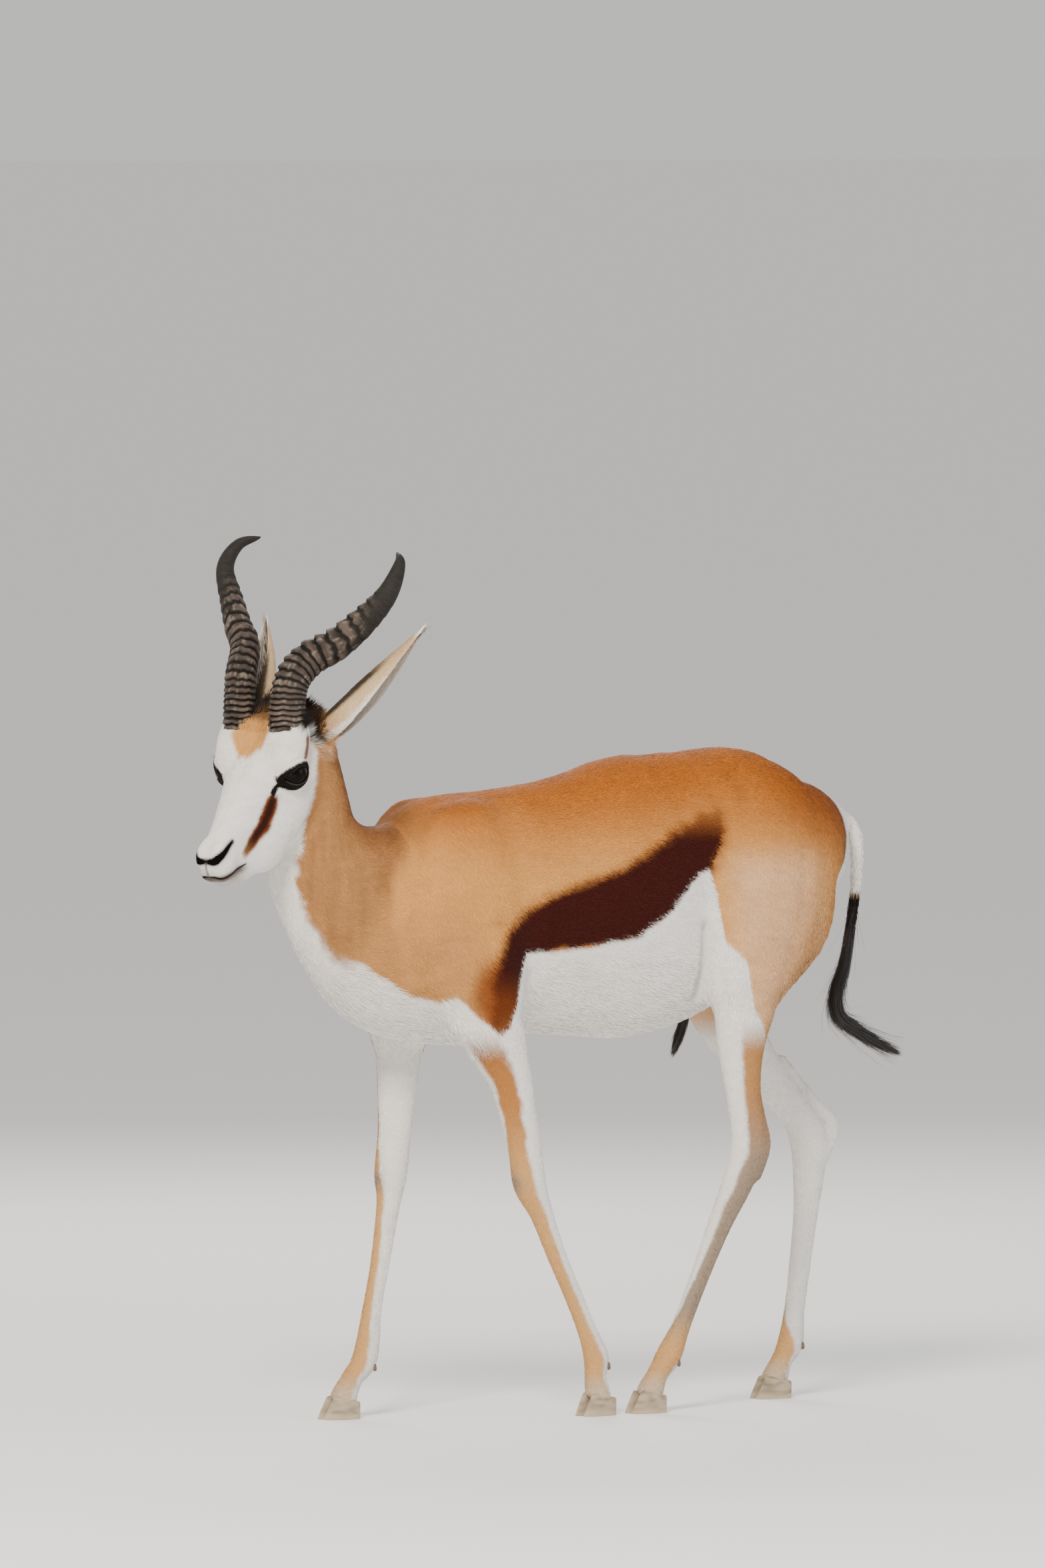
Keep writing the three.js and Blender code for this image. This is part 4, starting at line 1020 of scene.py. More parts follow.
class Maker:
    """Puts surfaces into the scene as finished pieces of the model."""

    def __init__(self, frame_of: Frame) -> None:
        self.frame_of = frame_of
        self.materials: dict[str, bpy.types.Material] = {}

    def _material(self, finish: Finish) -> bpy.types.Material:
        """The one material made for a finish."""
        if finish.name not in self.materials:
            self.materials[finish.name] = finish.material()
        return self.materials[finish.name]

    def put(self, name: str, surface: Surface, finish: Finish, slot: str, *nodes: str) -> None:
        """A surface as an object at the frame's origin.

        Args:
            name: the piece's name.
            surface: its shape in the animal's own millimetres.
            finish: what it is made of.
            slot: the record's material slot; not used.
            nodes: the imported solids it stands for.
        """
        mesh = bpy.data.meshes.new(name)
        mesh.vertices.add(len(surface.spots))
        mesh.vertices.foreach_set("co", self.frame_of.metres(surface.spots).astype(np.float32).ravel())
        corners, starts = self._corners(surface.faces)
        mesh.loops.add(len(corners))
        mesh.loops.foreach_set("vertex_index", corners)
        mesh.polygons.add(len(starts))
        mesh.polygons.foreach_set("loop_start", starts)
        mesh.polygons.foreach_set("use_smooth", np.ones(len(starts), bool))
        mesh.update(calc_edges=True)
        if surface.colour is not None:
            paint = mesh.color_attributes.new("paint", "FLOAT_COLOR", "POINT")
            rgba = np.hstack([surface.colour, np.ones((len(surface.colour), 1))]).astype(np.float32)
            paint.data.foreach_set("color", rgba.ravel())
        if surface.bake is not None:
            layer = mesh.uv_layers.new(name="OFBake")
            layer.data.foreach_set("uv", surface.bake[corners].astype(np.float32).ravel())
        mesh.materials.append(self._material(finish))
        made = bpy.data.objects.new(name, mesh)
        bpy.context.scene.collection.objects.link(made)
        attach(made, "root")
        if nodes:
            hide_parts(*nodes)
        log.info("%s: %d faces", name, len(starts))

    @staticmethod
    def _corners(faces: Array) -> tuple[Array, Array]:
        """Corner list and face starts, with quads that repeat a corner brought down to triangles."""
        if faces.shape[1] == 3:
            return faces.ravel().astype(np.int32), (np.arange(len(faces)) * 3).astype(np.int32)
        keep = np.ones(faces.shape, bool)
        keep[:, 3] = faces[:, 3] != faces[:, 2]
        sizes = keep.sum(1)
        return faces[keep].astype(np.int32), np.concatenate([[0], np.cumsum(sizes)[:-1]]).astype(np.int32)


def capped(rings: Array, colour: Array) -> Surface:
    """A closed surface over rings of points, with one point at each end."""
    rows, around = rings.shape[:2]
    spots = np.vstack([rings.reshape(-1, 3), rings[0].mean(0), rings[-1].mean(0)])
    faces = sheet_faces(rows, around, ring=True)
    j = np.arange(around)
    k = (j + 1) % around
    first, last = rows * around, rows * around + 1
    start = np.stack([np.full(around, first), k, j, j], -1)
    j, k = (rows - 1) * around + j, (rows - 1) * around + k
    end = np.stack([np.full(around, last), j, k, k], -1)
    ends = np.vstack([colour[:around].mean(0), colour[-around:].mean(0)])
    return outward(Surface(spots, np.vstack([faces, start, end]), np.vstack([colour, ends])))


@dataclass
class Horn:
    """A ringed horn: an ellipse swept along its curve, ridged up to the smooth tip."""

    # How many rings lie below each part of the horn's length.
    PART = (0, 0.12, 0.22, 0.27, 0.34, 0.45, 0.55, 0.66, 0.78, 1)
    COUNT = (0, 5.3, 10, 12, 14, 16.4, 18.2, 20, 22.6, 27)

    head: Head
    path: Rows
    side: Side
    deep: float = 24.0
    wide: float = 20.0
    toe: float = math.radians(25)
    rows: int = 560
    around: int = 56

    def line(self, u: Array) -> tuple[Array, Array]:
        """Centre and direction at even lengths along the horn, from 0 to 1."""
        table = horn_line(self.head, self.path, self.side.value)
        fine = np.linspace(0, 1, 600)
        spots, _ = smooth_line(table, fine)
        length = np.concatenate([[0], np.cumsum(np.linalg.norm(np.diff(spots, axis=0), axis=1))])
        t = np.interp(u * length[-1], length, fine)
        at, slope = smooth_line(table, t)
        return at, unit(slope)

    @staticmethod
    def _place(u: Array, angle: Array) -> Array:
        """Millimetres along a horn of usual length and round it, to read random fields at."""
        return np.stack([u * 330, 20 * np.cos(angle), 20 * np.sin(angle)], -1).reshape(-1, 3)

    def _relief(self, u: Array, angle: Array) -> tuple[Array, Array]:
        """Height of the ridges over the horn's radius, and how far each place is out of the grooves.

        Each ridge rises steeply from a sharp groove and slopes off upwards. Ridges are highest on the
        front, waver round the horn, and carry finer lines between them.
        """
        place = self._place(u, angle)
        waver = noise(place, (60, 11, 11), 3).reshape(u.shape) * 0.3
        waver += noise(place, (22, 6, 6), 5).reshape(u.shape) * 0.16
        count = np.interp(u, self.PART, self.COUNT) + waver
        part = count % 1
        hump = np.where(part < 0.2, part / 0.2, 1 - ((part - 0.2) / 0.8) ** 1.5)
        front = 0.5 * (1 - np.sin(angle))
        ringed = ramp(23.2, 20.6, count)
        height = np.interp(u, (0, 0.2, 0.4, 0.66), (0.14, 0.13, 0.17, 0.14))
        height = height * (0.3 + 0.7 * front**1.5) * ringed
        lines = np.interp(u, (0, 0.27, 0.5), (2, 3, 5))
        fine = np.sin(count * lines * 2 * np.pi) * 0.008 * (0.2 + 0.8 * ringed)
        rough = noise(place, (3, 8, 8), 6).reshape(u.shape) * 0.012 * (0.25 + 0.75 * ringed)
        return height * (1.3 * hump - 0.55) + fine + rough, np.where(ringed > 0.02, hump, 1)

    def surface(self) -> Surface:
        """Radius = taper x (1 + relief), on an ellipse whose longer way turns in a little in front."""
        u = np.linspace(0, 0.9985, self.rows)
        at, along = self.line(u)
        at = at - along * (14 * ramp(0.035, 0, u))[:, None]
        left = self.head.ways[2]
        left = unit(left - (along @ left)[:, None] * along)
        back = np.cross(along, left)
        toe = self.toe * self.side.value
        side = left * math.cos(toe) - back * math.sin(toe)
        rise = back * math.cos(toe) + left * math.sin(toe)
        angle = np.linspace(0, 2 * np.pi, self.around, endpoint=False)
        u, angle = np.meshgrid(u, angle, indexing="ij")
        relief, hump = self._relief(u, angle)
        radius = (1 - 0.14 * u) * np.maximum(1 - u**3, 0) ** 0.62
        radius = radius * (1 + relief) * (1 - 0.14 * ramp(0.07, 0, u))
        spots = at[:, None] + side[:, None] * (np.cos(angle) * self.wide * radius)[..., None]
        spots += rise[:, None] * (np.sin(angle) * self.deep * radius)[..., None]
        return capped(spots, self._tone(u, angle, hump).reshape(-1, 3))

    def _tone(self, u: Array, angle: Array, hump: Array) -> Array:
        """Dusty brown on the ridges, black-brown painted shade in the grooves and dark slate at the tip."""
        place = self._place(u, angle)
        patchy = noise(place, (14, 12, 12), 8).reshape(u.shape)
        streak = noise(place, (1.6, 9, 9), 9).reshape(u.shape)
        dusty = mixed(linear("#5D5047"), linear("#2B2420"), 0.5 + 0.7 * patchy)
        fleck = noise(place, (7, 1.4, 1.4), 10).reshape(u.shape)
        dusty = mixed(dusty, linear("#94887C"), ramp(0.1, 0.8, fleck) * 0.45)
        # Painted shade: the grooves darkened to black-brown.
        tone = mixed(dusty, linear("#0A0706"), ramp(0.75, 0.25, hump) * 0.95)
        tone = mixed(tone, linear("#26231F"), ramp(0.48, 0.74, u + 0.05 * np.sin(angle) + 0.05 * patchy))
        return tone * (1 + 0.3 * streak)[..., None]


@dataclass
class Eyeball:
    """A ball with a dark brown iris and a level black pupil, drawn by rings round the way it looks."""

    centre: Array
    frame: Array
    radius: float = EYE_RADIUS
    rows: int = 40
    around: int = 64

    def surface(self) -> Surface:
        """A sphere in rings: polar angle from the way it looks, with a cornea that bulges a little."""
        polar = np.linspace(0.001, np.pi * 0.999, self.rows)[:, None]
        angle = np.linspace(0, 2 * np.pi, self.around, endpoint=False)[None]
        across, up, look = self.frame
        bulge = 1 + 0.035 * np.exp(-((polar / 0.55) ** 2))
        x, y, z = np.sin(polar) * np.cos(angle), np.sin(polar) * np.sin(angle), np.cos(polar) + 0 * angle
        spots = np.stack([x, y, z], -1) @ np.array([across, up, look]) * (self.radius * bulge)[..., None]
        iris = linear("#0B0504") * np.ones(spots.shape)
        pupil = ramp(1.15, 0.85, np.hypot(x / 0.42, y / 0.2))
        rim = ramp(0.62, 0.74, np.sin(polar) + 0 * angle)
        tone = mixed(mixed(iris, linear("#020202"), pupil), linear("#040303"), rim)
        return capped(spots + self.centre, tone.reshape(-1, 3))


@dataclass
class Claw:
    """One half of a cloven hoof: rings from a flat sole to the top, with a blunt, turned-in toe."""

    foot: str
    side: int
    length: float = 52.0
    width: float = 16.5
    cleft: float = 3.0
    back: float = 8.0

    def surface(self) -> Surface:
        """Each ring is an ellipse whose toe end narrows; rings shorten and slope upwards to the toe."""
        levels = np.array([0.0, 0.0, 0.03, 0.08, 0.2, 0.35, 0.5, 0.65, 0.8, 0.92, 0.98, 1.0])
        shrink = np.array([0.55, 0.965, 0.99, 1, 1, 1, 1, 1, 1, 0.985, 0.95, 0.86])
        angle = np.linspace(0, 2 * np.pi, 40, endpoint=False)
        rings = []
        for t, s in zip(levels, shrink):
            half = self.length / 2 * (1 - 0.3 * t) * s
            width = self.width / 2 * (1 - 0.02 * t) * s
            x = np.cos(angle)
            point = np.where(x < 0, 1 - 0.42 * (1 - t) * x * x, 1)
            y = np.sin(angle) * width * point
            y = np.where(self.side * y < 0, 0.86 * y, y)
            z = HOOF_HEIGHT * t - x * half * HOOF_SLOPE * t
            rings.append(np.stack([x * half + self.back * t, y, z], -1))
        local = np.array(rings)
        fx, fy, turn = FEET[self.foot]
        splay = self.side * 0.07
        local = local @ turned(splay).T
        local[..., 1] += self.side * (self.width + self.cleft) / 2
        spots = local @ turned(math.radians(turn)).T + np.array([fx, fy, 0])
        flat = spots.reshape(-1, 3)
        growth = noise(flat, (14, 14, 1.6), 7)
        tone = mixed(linear("#B3A38C"), linear("#82715D"), ramp(-0.5, 0.9, growth))
        tone = mixed(tone, linear("#C9B89C"), ramp(12, 0, flat[:, 2]) * 0.7)
        return capped(spots, tone)


@dataclass
class Dewclaw:
    """A small button of horn behind the fetlock: rings that narrow to a blunt lower end."""

    root: Array
    back: Array
    radius: float = 4.4
    length: float = 10.0

    def surface(self) -> Surface:
        """Rings down a line that leans back a little; radius = root's radius x sqrt(1 - t^3)."""
        t = np.linspace(0, 0.985, 12)[:, None]
        down = np.array([0, 0, -1.0])
        at = self.root + self.back * (3 * t) + down * (self.length * t)
        across = unit(np.cross(down, self.back))
        angle = np.linspace(0, 2 * np.pi, 16, endpoint=False)
        half = self.radius * np.sqrt(1 - t**3)
        ring = across * (np.cos(angle) * half)[..., None]
        ring = ring + self.back * (np.sin(angle) * half * 0.8)[..., None]
        spots = at[:, None] + ring
        return capped(spots, np.broadcast_to(linear("#6E5F50"), (spots.shape[0] * 16, 3)))


def turned(angle: float) -> Array:
    """The matrix of a turn about the upright axis."""
    c, s = math.cos(angle), math.sin(angle)
    return np.array([[c, -s, 0], [s, c, 0], [0, 0, 1.0]])


@dataclass
class Ear:
    """A long ear: a leaf rolled into a trough, its two faces joined round the edge."""

    base: Array
    tip: Array
    open_way: tuple[float, float, float]
    radius: tuple[float, ...] = (16, 20, 24, 26, 24, 18.5, 10, 1.5)
    spread: tuple[float, ...] = (150, 132, 112, 100, 92, 86, 80, 76)
    thick: float = 2.2
    bow: float = 15.0

    def sheet(self, rows: int, columns: int) -> tuple[Array, Array, Array]:
        """Middle line, opening way and side way, as a grid of points on the outer face.

        Returns:
            Outer points, outward directions, and rows of (along, around) from 0 to 1 and -1 to 1.
        """
        t = np.linspace(0, 1, rows)
        way = unit(self.tip - self.base)
        opening = np.array(self.open_way)
        opening = unit(opening - opening @ way * way)
        side = np.cross(way, opening)
        table = np.stack([self.radius, np.radians(self.spread)], -1)
        size, _ = smooth_line(table, t)
        at = self.base + (self.tip - self.base) * (t * 0.99 - 0.03 * (1 - t))[:, None]
        at = at + opening * (self.bow * np.sin(np.pi * t))[:, None]
        across = np.linspace(-1, 1, columns)
        angle = size[:, 1][:, None] * across[None]
        out = -opening * np.cos(angle)[..., None] + side * np.sin(angle)[..., None]
        spots = at[:, None] + out * size[:, 0][:, None, None]
        place = np.stack(np.broadcast_arrays(t[:, None], across[None]), -1)
        return spots, out, place

    def surface(self) -> Surface:
        """Outer and inner faces of the leaf with a rounded rim between them."""
        rows, columns = 60, 40
        spots, out, place = self.sheet(rows, columns)
        edge = np.sqrt(np.maximum(1 - place[..., 1] ** 4, 0))
        end = np.sqrt(np.maximum(1 - place[..., 0] ** 8, 0))
        inner = spots - out * (self.thick * (0.25 + 0.75 * edge * end))[..., None]
        loop = np.concatenate([spots, inner[:, ::-1]], axis=1)
        outer_tone = self.outer_tone(out.reshape(-1, 3), place.reshape(-1, 2)).reshape(spots.shape)
        inner_tone = self.inner_tone(place.reshape(-1, 2)).reshape(spots.shape)
        tone = np.concatenate([outer_tone, inner_tone[:, ::-1]], axis=1)
        return capped(loop, tone.reshape(-1, 3))

    @staticmethod
    def outer_tone(out: Array, place: Array) -> Array:
        """Colour of the hair on the back: beige, tan at the root, white below and dark at the upper rim."""
        t, across = place[:, 0], place[:, 1]
        tone = mixed(linear("#D9BE97"), linear("#B98A5C"), ramp(0.3, 0.02, t) * 0.8)
        low = ramp(0.1, -0.35, out[:, 2]) * ramp(0.62, 0.25, t)
        tone = mixed(tone, linear("#F2ECE2"), low)
        tone = mixed(tone, linear("#B98A5C"), ramp(0.3, 0.9, t) * 0.35)
        ridge = ramp(0.42, 0.58, out[:, 2]) * ramp(0.75, 0.5, t)
        tone = mixed(tone, linear("#1E1511"), ridge * 0.92)
        pale = np.maximum(ramp(0.86, 0.96, t), ramp(0.8, 0.97, np.abs(across)) * ramp(0.2, -0.1, out[:, 2]))
        return mixed(tone, linear("#F1ECE4"), pale)

    @staticmethod
    def inner_tone(place: Array) -> Array:
        """Colour inside: grey-dark skin with pale hair towards the rims."""
        t, across = place[:, 0], place[:, 1]
        dark = np.broadcast_to(linear("#3E3430"), (len(place), 3))
        return mixed(dark, linear("#CFC4B6"), ramp(0.45, 0.95, np.abs(across)) * 0.8)


@dataclass(frozen=True)
class Palette:
    """The coat's colours as they are seen in daylight."""

    back: str = "#B06420"
    side: str = "#D49751"
    croup: str = "#854419"
    thigh: str = "#DDB083"
    # Shaded tan: painted shade on the shoulder and the thigh's rear, and the tan of the upper hind legs.
    shade: str = "#B98652"
    band: str = "#380D03"
    band_edge: str = "#7B3A12"
    white: str = "#F1EEE9"
    neck: str = "#AA7848"
    nape: str = "#85552F"
    stripe: str = "#B4783F"
    shin: str = "#D3A268"
    cannon: str = "#A08C78"
    brow: str = "#CF9444"
    crown: str = "#6B4E36"
    tear: str = "#7A3C18"
    tear_core: str = "#33130A"
    black: str = "#120D0B"
    lips: str = "#5F554F"

    def tone(self, name: str) -> Array:
        """One colour in linear numbers."""
        return linear(getattr(self, name))


class Markings:
    """The coat's colours as a smooth function of place on the body."""

    # The dark band of the flank: x, z and half width of its middle line, in side view.
    BAND = np.array(
        [
            (-206, 508, 14),
            (-196, 560, 21),
            (-168, 612, 27),
            (-115, 639, 34),
            (-60, 648, 41),
            (-5, 662, 45),
            (51, 696, 42),
            (90, 727, 33),
            (112, 752, 21),
            (128, 774, 5),
        ],
        float,
    )
    # Height below which the coat is white, along the body.
    WHITE_X = (-460, -431, -310, -264, -222, -207, -192, -172, -157, -80,
               2, 51, 90, 110, 122, 134, 160, 170, 192, 215)
    WHITE_Z = (690, 622, 548, 546, 512, 500, 512, 570, 600, 605,
               617, 652, 697, 704, 668, 614, 584, 526, 488, 430)
    # Where the white face ends towards the neck, looking at the head from in front of its left side:
    # how far to the rear at each level down the picture.
    CHEEK_LEVEL = (-20, 39, 79, 110, 134, 158, 185, 210, 250)
    CHEEK_BORDER = (84, 84, 82, 78, 69, 64, 63, 61, 65)
    # Half width of the pale rump patch at rising heights.
    RUMP_Z = (470, 560, 640, 700, 750, 790, 815)
    RUMP_HALF = (24, 36, 47, 46, 36, 20, 4)

    def __init__(self, body: Flesh, palette: Palette = Palette()) -> None:
        self.body = body
        self.palette = palette

    def colour(self, p: Array, n: Array) -> Array:
        """Colours of the coat.

        Args:
            p: rows of points on the body.
            n: the outward directions there.
        Returns:
            One row of linear red, green and blue a point.
        """
        tone = self.palette.tone
        wave = noise(p, 17, 11) * 4 + noise(p, 6, 12) * 2.5
        x, y, z = p.T
        result = self._trunk(p, wave)
        white = np.interp(x, self.WHITE_X, self.WHITE_Z) + wave * 0.6
        pale = ramp(-2.5, 4.5, white - z)
        under = ramp(-0.55, -0.8, n[:, 2]) * ramp(560, 520, z) * (x < 200)
        result = mixed(result, tone("white"), np.maximum(pale, under))
        half = np.interp(z, self.RUMP_Z, self.RUMP_HALF) + wave
        rear = ramp(0.2, 0.5, n[:, 0]) * (x > 180) * (z > 470)
        result = mixed(result, tone("croup"), rear * ramp(16, 4, np.abs(y) - half) * 0.75)
        result = mixed(result, tone("white"), rear * ramp(3, -3, np.abs(y) - half))
        result = self._legs(p, wave, result)
        result = self._neck(p, wave, result)
        near = self.body.head.near(p)
        if near.any():
            result[near] = self._head(p[near], wave[near], result[near])
        dock = self.body.dock.distance(p)
        tail = ramp(8, 2, dock) * ramp(372, 380, x)
        result = mixed(result, tone("white"), tail * ramp(655, 668, z))
        result = mixed(result, tone("black"), tail * ramp(668, 655, z))
        return result

    def _trunk(self, p: Array, wave: Array) -> Array:
        """Tan that is richer on the back, brown on the croup and light on the thigh, with the band, and
        shaded tan as painted shade on the lower shoulder and the thigh's rear.
        """
        x, y, z = p.T
        tone = self.palette.tone
        result = mixed(tone("side"), tone("back"), ramp(690, 825, z + noise(p, 60, 13) * 16))
        # Painted shade: the shaded tan laid over the lower front of the shoulder.
        shoulder = ramp(-190, -270, x) * ramp(700, 600, z)
        result = mixed(result, tone("shade"), shoulder * 0.75)
        thigh = ramp(110, 175, x) * ramp(320, 250, x) * ramp(745, 690, z)
        result = mixed(result, tone("thigh"), thigh)
        # Painted shade: the shaded tan laid over the rear of the thigh.
        result = mixed(result, tone("shade"), thigh * ramp(215, 265, x + (z - 600) * -0.35) * 0.8)
        croup = ramp(170, 330, x) * ramp(690, 800, z + 0.25 * (x - 250))
        result = mixed(result, tone("croup"), croup * 0.85)
        line = self.BAND
        best = np.full(len(p), -99.0)
        above = np.zeros(len(p))
        for (ax, az, ah), (bx, bz, bh) in zip(line, line[1:]):
            run = np.array([bx - ax, bz - az])
            s = np.clip(((x - ax) * run[0] + (z - az) * run[1]) / (run @ run), 0, 1)
            ox, oz = x - ax - s * run[0], z - az - s * run[1]
            inside = ah + (bh - ah) * s - np.hypot(ox, oz)
            use = inside > best
            best = np.where(use, inside, best)
            above = np.where(use, run[0] * oz - run[1] * ox, above)
        soft = np.where(above > 0, 8.0, 3.0)
        flank = np.abs(y) > 25
        part = ramp(-1, 1, (best + wave) / soft) * flank
        rim = ramp(-1.0, 0.2, (best + wave) / 16) * flank
        elbow = np.hypot((x + 212) / 42, (z - 552) / 52) + wave * 0.012
        result = mixed(result, tone("band_edge"), ramp(1.15, 0.45, elbow) * flank * 0.85)
        result = mixed(result, tone("band_edge"), rim * 0.7 * ramp(800, 750, z))
        part = part * (0.35 + 0.65 * ramp(775, 735, z)) * (0.45 + 0.55 * ramp(530, 585, z))
        return mixed(result, tone("band"), part)

    def _legs(self, p: Array, wave: Array, result: Array) -> Array:
        """Orange front of the forelegs and grey-brown outer side of the hind legs, on white."""
        tone = self.palette.tone
        for name, leg in self.body.legs.items():
            z = p[:, 2]
            near = (z < 545) & ((p > leg.low + 20) & (p < leg.high - 20)).all(axis=1)
            if not near.any():
                continue
            q = p[near]
            spot = leg.local(q)
            outer = -1 if name.endswith("left") else 1
            around = np.arctan2(spot.side / spot.wide * outer, spot.rise / spot.deep)
            around = np.degrees(around) + wave[near] * 1.3
            z = q[:, 2]
            white = np.broadcast_to(tone("white"), q.shape) * (1 - 0.12 * ramp(200, 40, z))[:, None]
            if name.startswith("front"):
                centre = np.interp(z, (60, 200, 300, 350, 430, 520), (10, 16, 24, 36, 48, 42))
                half = np.interp(z, (30, 80, 160, 260, 310, 350, 430, 520), (110, 84, 70, 64, 54, 40, 30, 34))
                hue = mixed(tone("shin"), tone("stripe"), ramp(300, 430, z))
                hue = mixed(hue, tone("band_edge"), ramp(440, 520, z) * 0.8)
            else:
                centre = np.interp(z, (60, 110, 200, 330, 500), (10, 80, 120, 126, 126))
                half = np.interp(z, (30, 90, 130, 200, 330, 420, 520), (125, 98, 72, 68, 64, 56, 66))
                hue = mixed(tone("cannon"), tone("shade"), ramp(300, 430, z))
                hue = mixed(hue, tone("shin"), ramp(140, 80, z))
            hue = mixed(hue, linear("#C9BCA8"), ramp(62, 30, z) * 0.75)
            off = np.abs((around - centre + 180) % 360 - 180)
            leg_tone = mixed(white, hue, ramp(9, -9, off - half))
            if name.startswith("front"):
                knee = np.exp(-(((z - 306) / 15) ** 2) - ((np.abs((around + 180) % 360 - 180) / 38) ** 2))
                leg_tone = mixed(leg_tone, linear("#857B70"), knee * 0.8)
            weight = ramp(14, 4, spot.distance) * ramp(510, 462, z)
            result[near] = mixed(result[near], leg_tone, weight)
        return result

    def _neck(self, p: Array, wave: Array, result: Array) -> Array:
        """Brown nape and sides with streaks, and a white throat."""
        tone = self.palette.tone
        ahead = self.body.before_shoulders(p)
        near = (ahead > -40) & (p[:, 2] > 560)
        if not near.any():
            return result
        q = p[near]
        spot = self.body.neck.local(q)
        turn = np.degrees(np.arctan2(np.abs(spot.side) / spot.wide, -spot.rise / spot.deep)) + wave[near]
        streak = noise(q, (7, 7, 46), 15)
        hue = mixed(tone("neck"), tone("nape"), ramp(100, 165, turn))
        hue = hue * (1 + 0.16 * streak)[:, None]
        hue = mixed(hue, tone("white"), ramp(46, 34, turn + streak * 4))
        result[near] = mixed(result[near], hue, ramp(-22, 22, ahead[near]))
        return result

    def _head(self, p: Array, wave: Array, result: Array) -> Array:
        """White face with a brown forehead, a tear stripe on each side, black rims, grey lips, and painted
        shade in the mouth's line and the nostrils.
        """
        tone = self.palette.tone
        head = self.body.head
        q = head.own(p)
        f, u = q[:, 0], q[:, 1]
        l = np.abs(q[:, 2])
        seen = 0.979 * l - 0.396 * f - 0.501 * u
        level = 0.938 * f - 0.692 * u + 0.028 * l
        border = np.interp(level, self.CHEEK_LEVEL, self.CHEEK_BORDER) + wave * 0.6
        face = ramp(4, -4, seen - border) * ramp(-22, -10, f)
        hue = mixed(result, tone("neck"), ramp(-60, -30, f) * ramp(-150, -100, u) * 0.7)
        hue = mixed(hue, tone("white"), face)
        patch = np.hypot((f - 12) / 40, (q[:, 2] + 5) / 28) + noise(p, (9, 9, 9), 16) * 0.16
        hue = mixed(hue, tone("brow"), ramp(1.15, 0.75, patch) * ramp(-38, -26, u) * 0.95)
        hue = mixed(hue, tone("crown"), ramp(4, -8, f) * ramp(30, 18, l) * ramp(-40, -20, u) * 0.85)
        poll = head.poll(f, l)
        hue = mixed(hue, tone("black"), ramp(1.25, 0.9, poll) * ramp(-58, -46, u) * 0.94)
        for side in Side:
            root = np.linalg.norm(p - self.body.ear_bases[side], axis=1)
            tuft = ramp(36, 26, root + wave) * ramp(-42, -52, u) * ramp(0, -10, f)
            hue = mixed(hue, tone("thigh"), tuft * 0.85)
        spot = distance_in_plane(f, u, ((4, -20), (23, -28)))
        hue = mixed(hue, tone("tear"), ramp(7, 3, spot + wave * 0.3) * ramp(40, 48, l) * 0.9)
        tear = distance_in_plane(f, u, ((90, -38), (120, -45), (168, -47)))
        width = np.interp(f, (84, 102, 135, 168), (8.0, 11.0, 8.8, 4.6)) + wave * 0.4
        stripe = ramp(3.0, -2.5, tear - width) * ramp(178, 162, f) * (l > 8)
        stripe_tone = mixed(tone("tear"), tone("tear_core"), ramp(0.9, 0.3, tear / width))
        stripe_tone = mixed(stripe_tone, tone("neck"), ramp(140, 172, f) * 0.6)
        hue = mixed(hue, stripe_tone, stripe)
        for side in Side:
            off = p - self.body.eyes[side]
            place = off @ self.body.eye_frames[side].T
            a = place[:, 0] / (EYE_WIDE / 2)
            ball = np.linalg.norm(off, axis=1)
            top = LID_UPPER * EYE_HIGH * np.maximum(1 - (a / 1.3) ** 2, 0) + 4.4
            low = LID_LOWER * EYE_HIGH * np.maximum(1 - (a / 1.4) ** 2, 0) + 3.0 + 6.5 * ramp(-0.8, 0.4, a)
            reach = np.where(a > 0, a - 1.42, -a - 1.2) * 21
            beyond = np.maximum(np.maximum(place[:, 1] - top, -place[:, 1] - low), reach) + wave * 0.12
            dark = ramp(0.9, -0.9, beyond) * (ball < 46) * (place[:, 2] > -14)
            corner = distance_in_plane(place[:, 0], place[:, 1], ((20, -3), (38, -16)))
            dark = np.maximum(dark, ramp(4.8, 3.0, corner) * (ball < 56) * (place[:, 2] > -20))
            hue = mixed(hue, tone("black"), dark)
        for line in self.body.mouths:
            d = distance_to(p, line)
            below = ramp(4, -3, u - np.interp(f, (170, 219), (-57, -28)))
            hue = mixed(hue, tone("lips"), ramp(15, 3, d) * (0.2 + 0.75 * below) * ramp(166, 186, f))
            # Black along the mouth's line: dark lip skin and painted shade in the crease.
            hue = mixed(hue, tone("black"), ramp(3.0, 1.2, d) * 0.9)
        for comma in self.body.nostrils:
            d = distance_to(p, comma[:, :3], comma[:, 3])
            hue = mixed(hue, tone("lips"), ramp(5, 2.5, d) * 0.45)
            # Painted shade: black in and round the nostril's opening.
            hue = mixed(hue, tone("black"), ramp(2.6, 1.2, d))
        seam = ramp(2.2, 0.8, l) * ramp(200, 208, f) * ramp(-32, -28, u) * ramp(-6, -10, u)
        hue = mixed(hue, tone("black"), seam * 0.7)
        for line in self.body.horn_feet:
            foot = distance_to(p, line) - 23
            hue = mixed(hue, tone("black") * 1.6, ramp(4, 1, foot + wave * 0.3) * ramp(8, -8, f + u * 0.2))
        chin = ramp(172, 196, f) * ramp(2, -4, u - np.interp(f, (170, 219), (-57, -28)))
        hue = mixed(hue, tone("lips"), chin * 0.4)
        weight = ramp(25, 10, head.distance(p))
        return mixed(result, hue, weight)


def distance_in_plane(x: Array, y: Array, line: Rows) -> Array:
    """Distance from a line of straight pieces in a flat view."""
    best = np.full(len(x), np.inf)
    for (ax, ay), (bx, by) in zip(line, line[1:]):
        run = np.array([bx - ax, by - ay], float)
        s = np.clip(((x - ax) * run[0] + (y - ay) * run[1]) / (run @ run), 0, 1)
        best = np.minimum(best, np.hypot(x - ax - s * run[0], y - ay - s * run[1]))
    return best


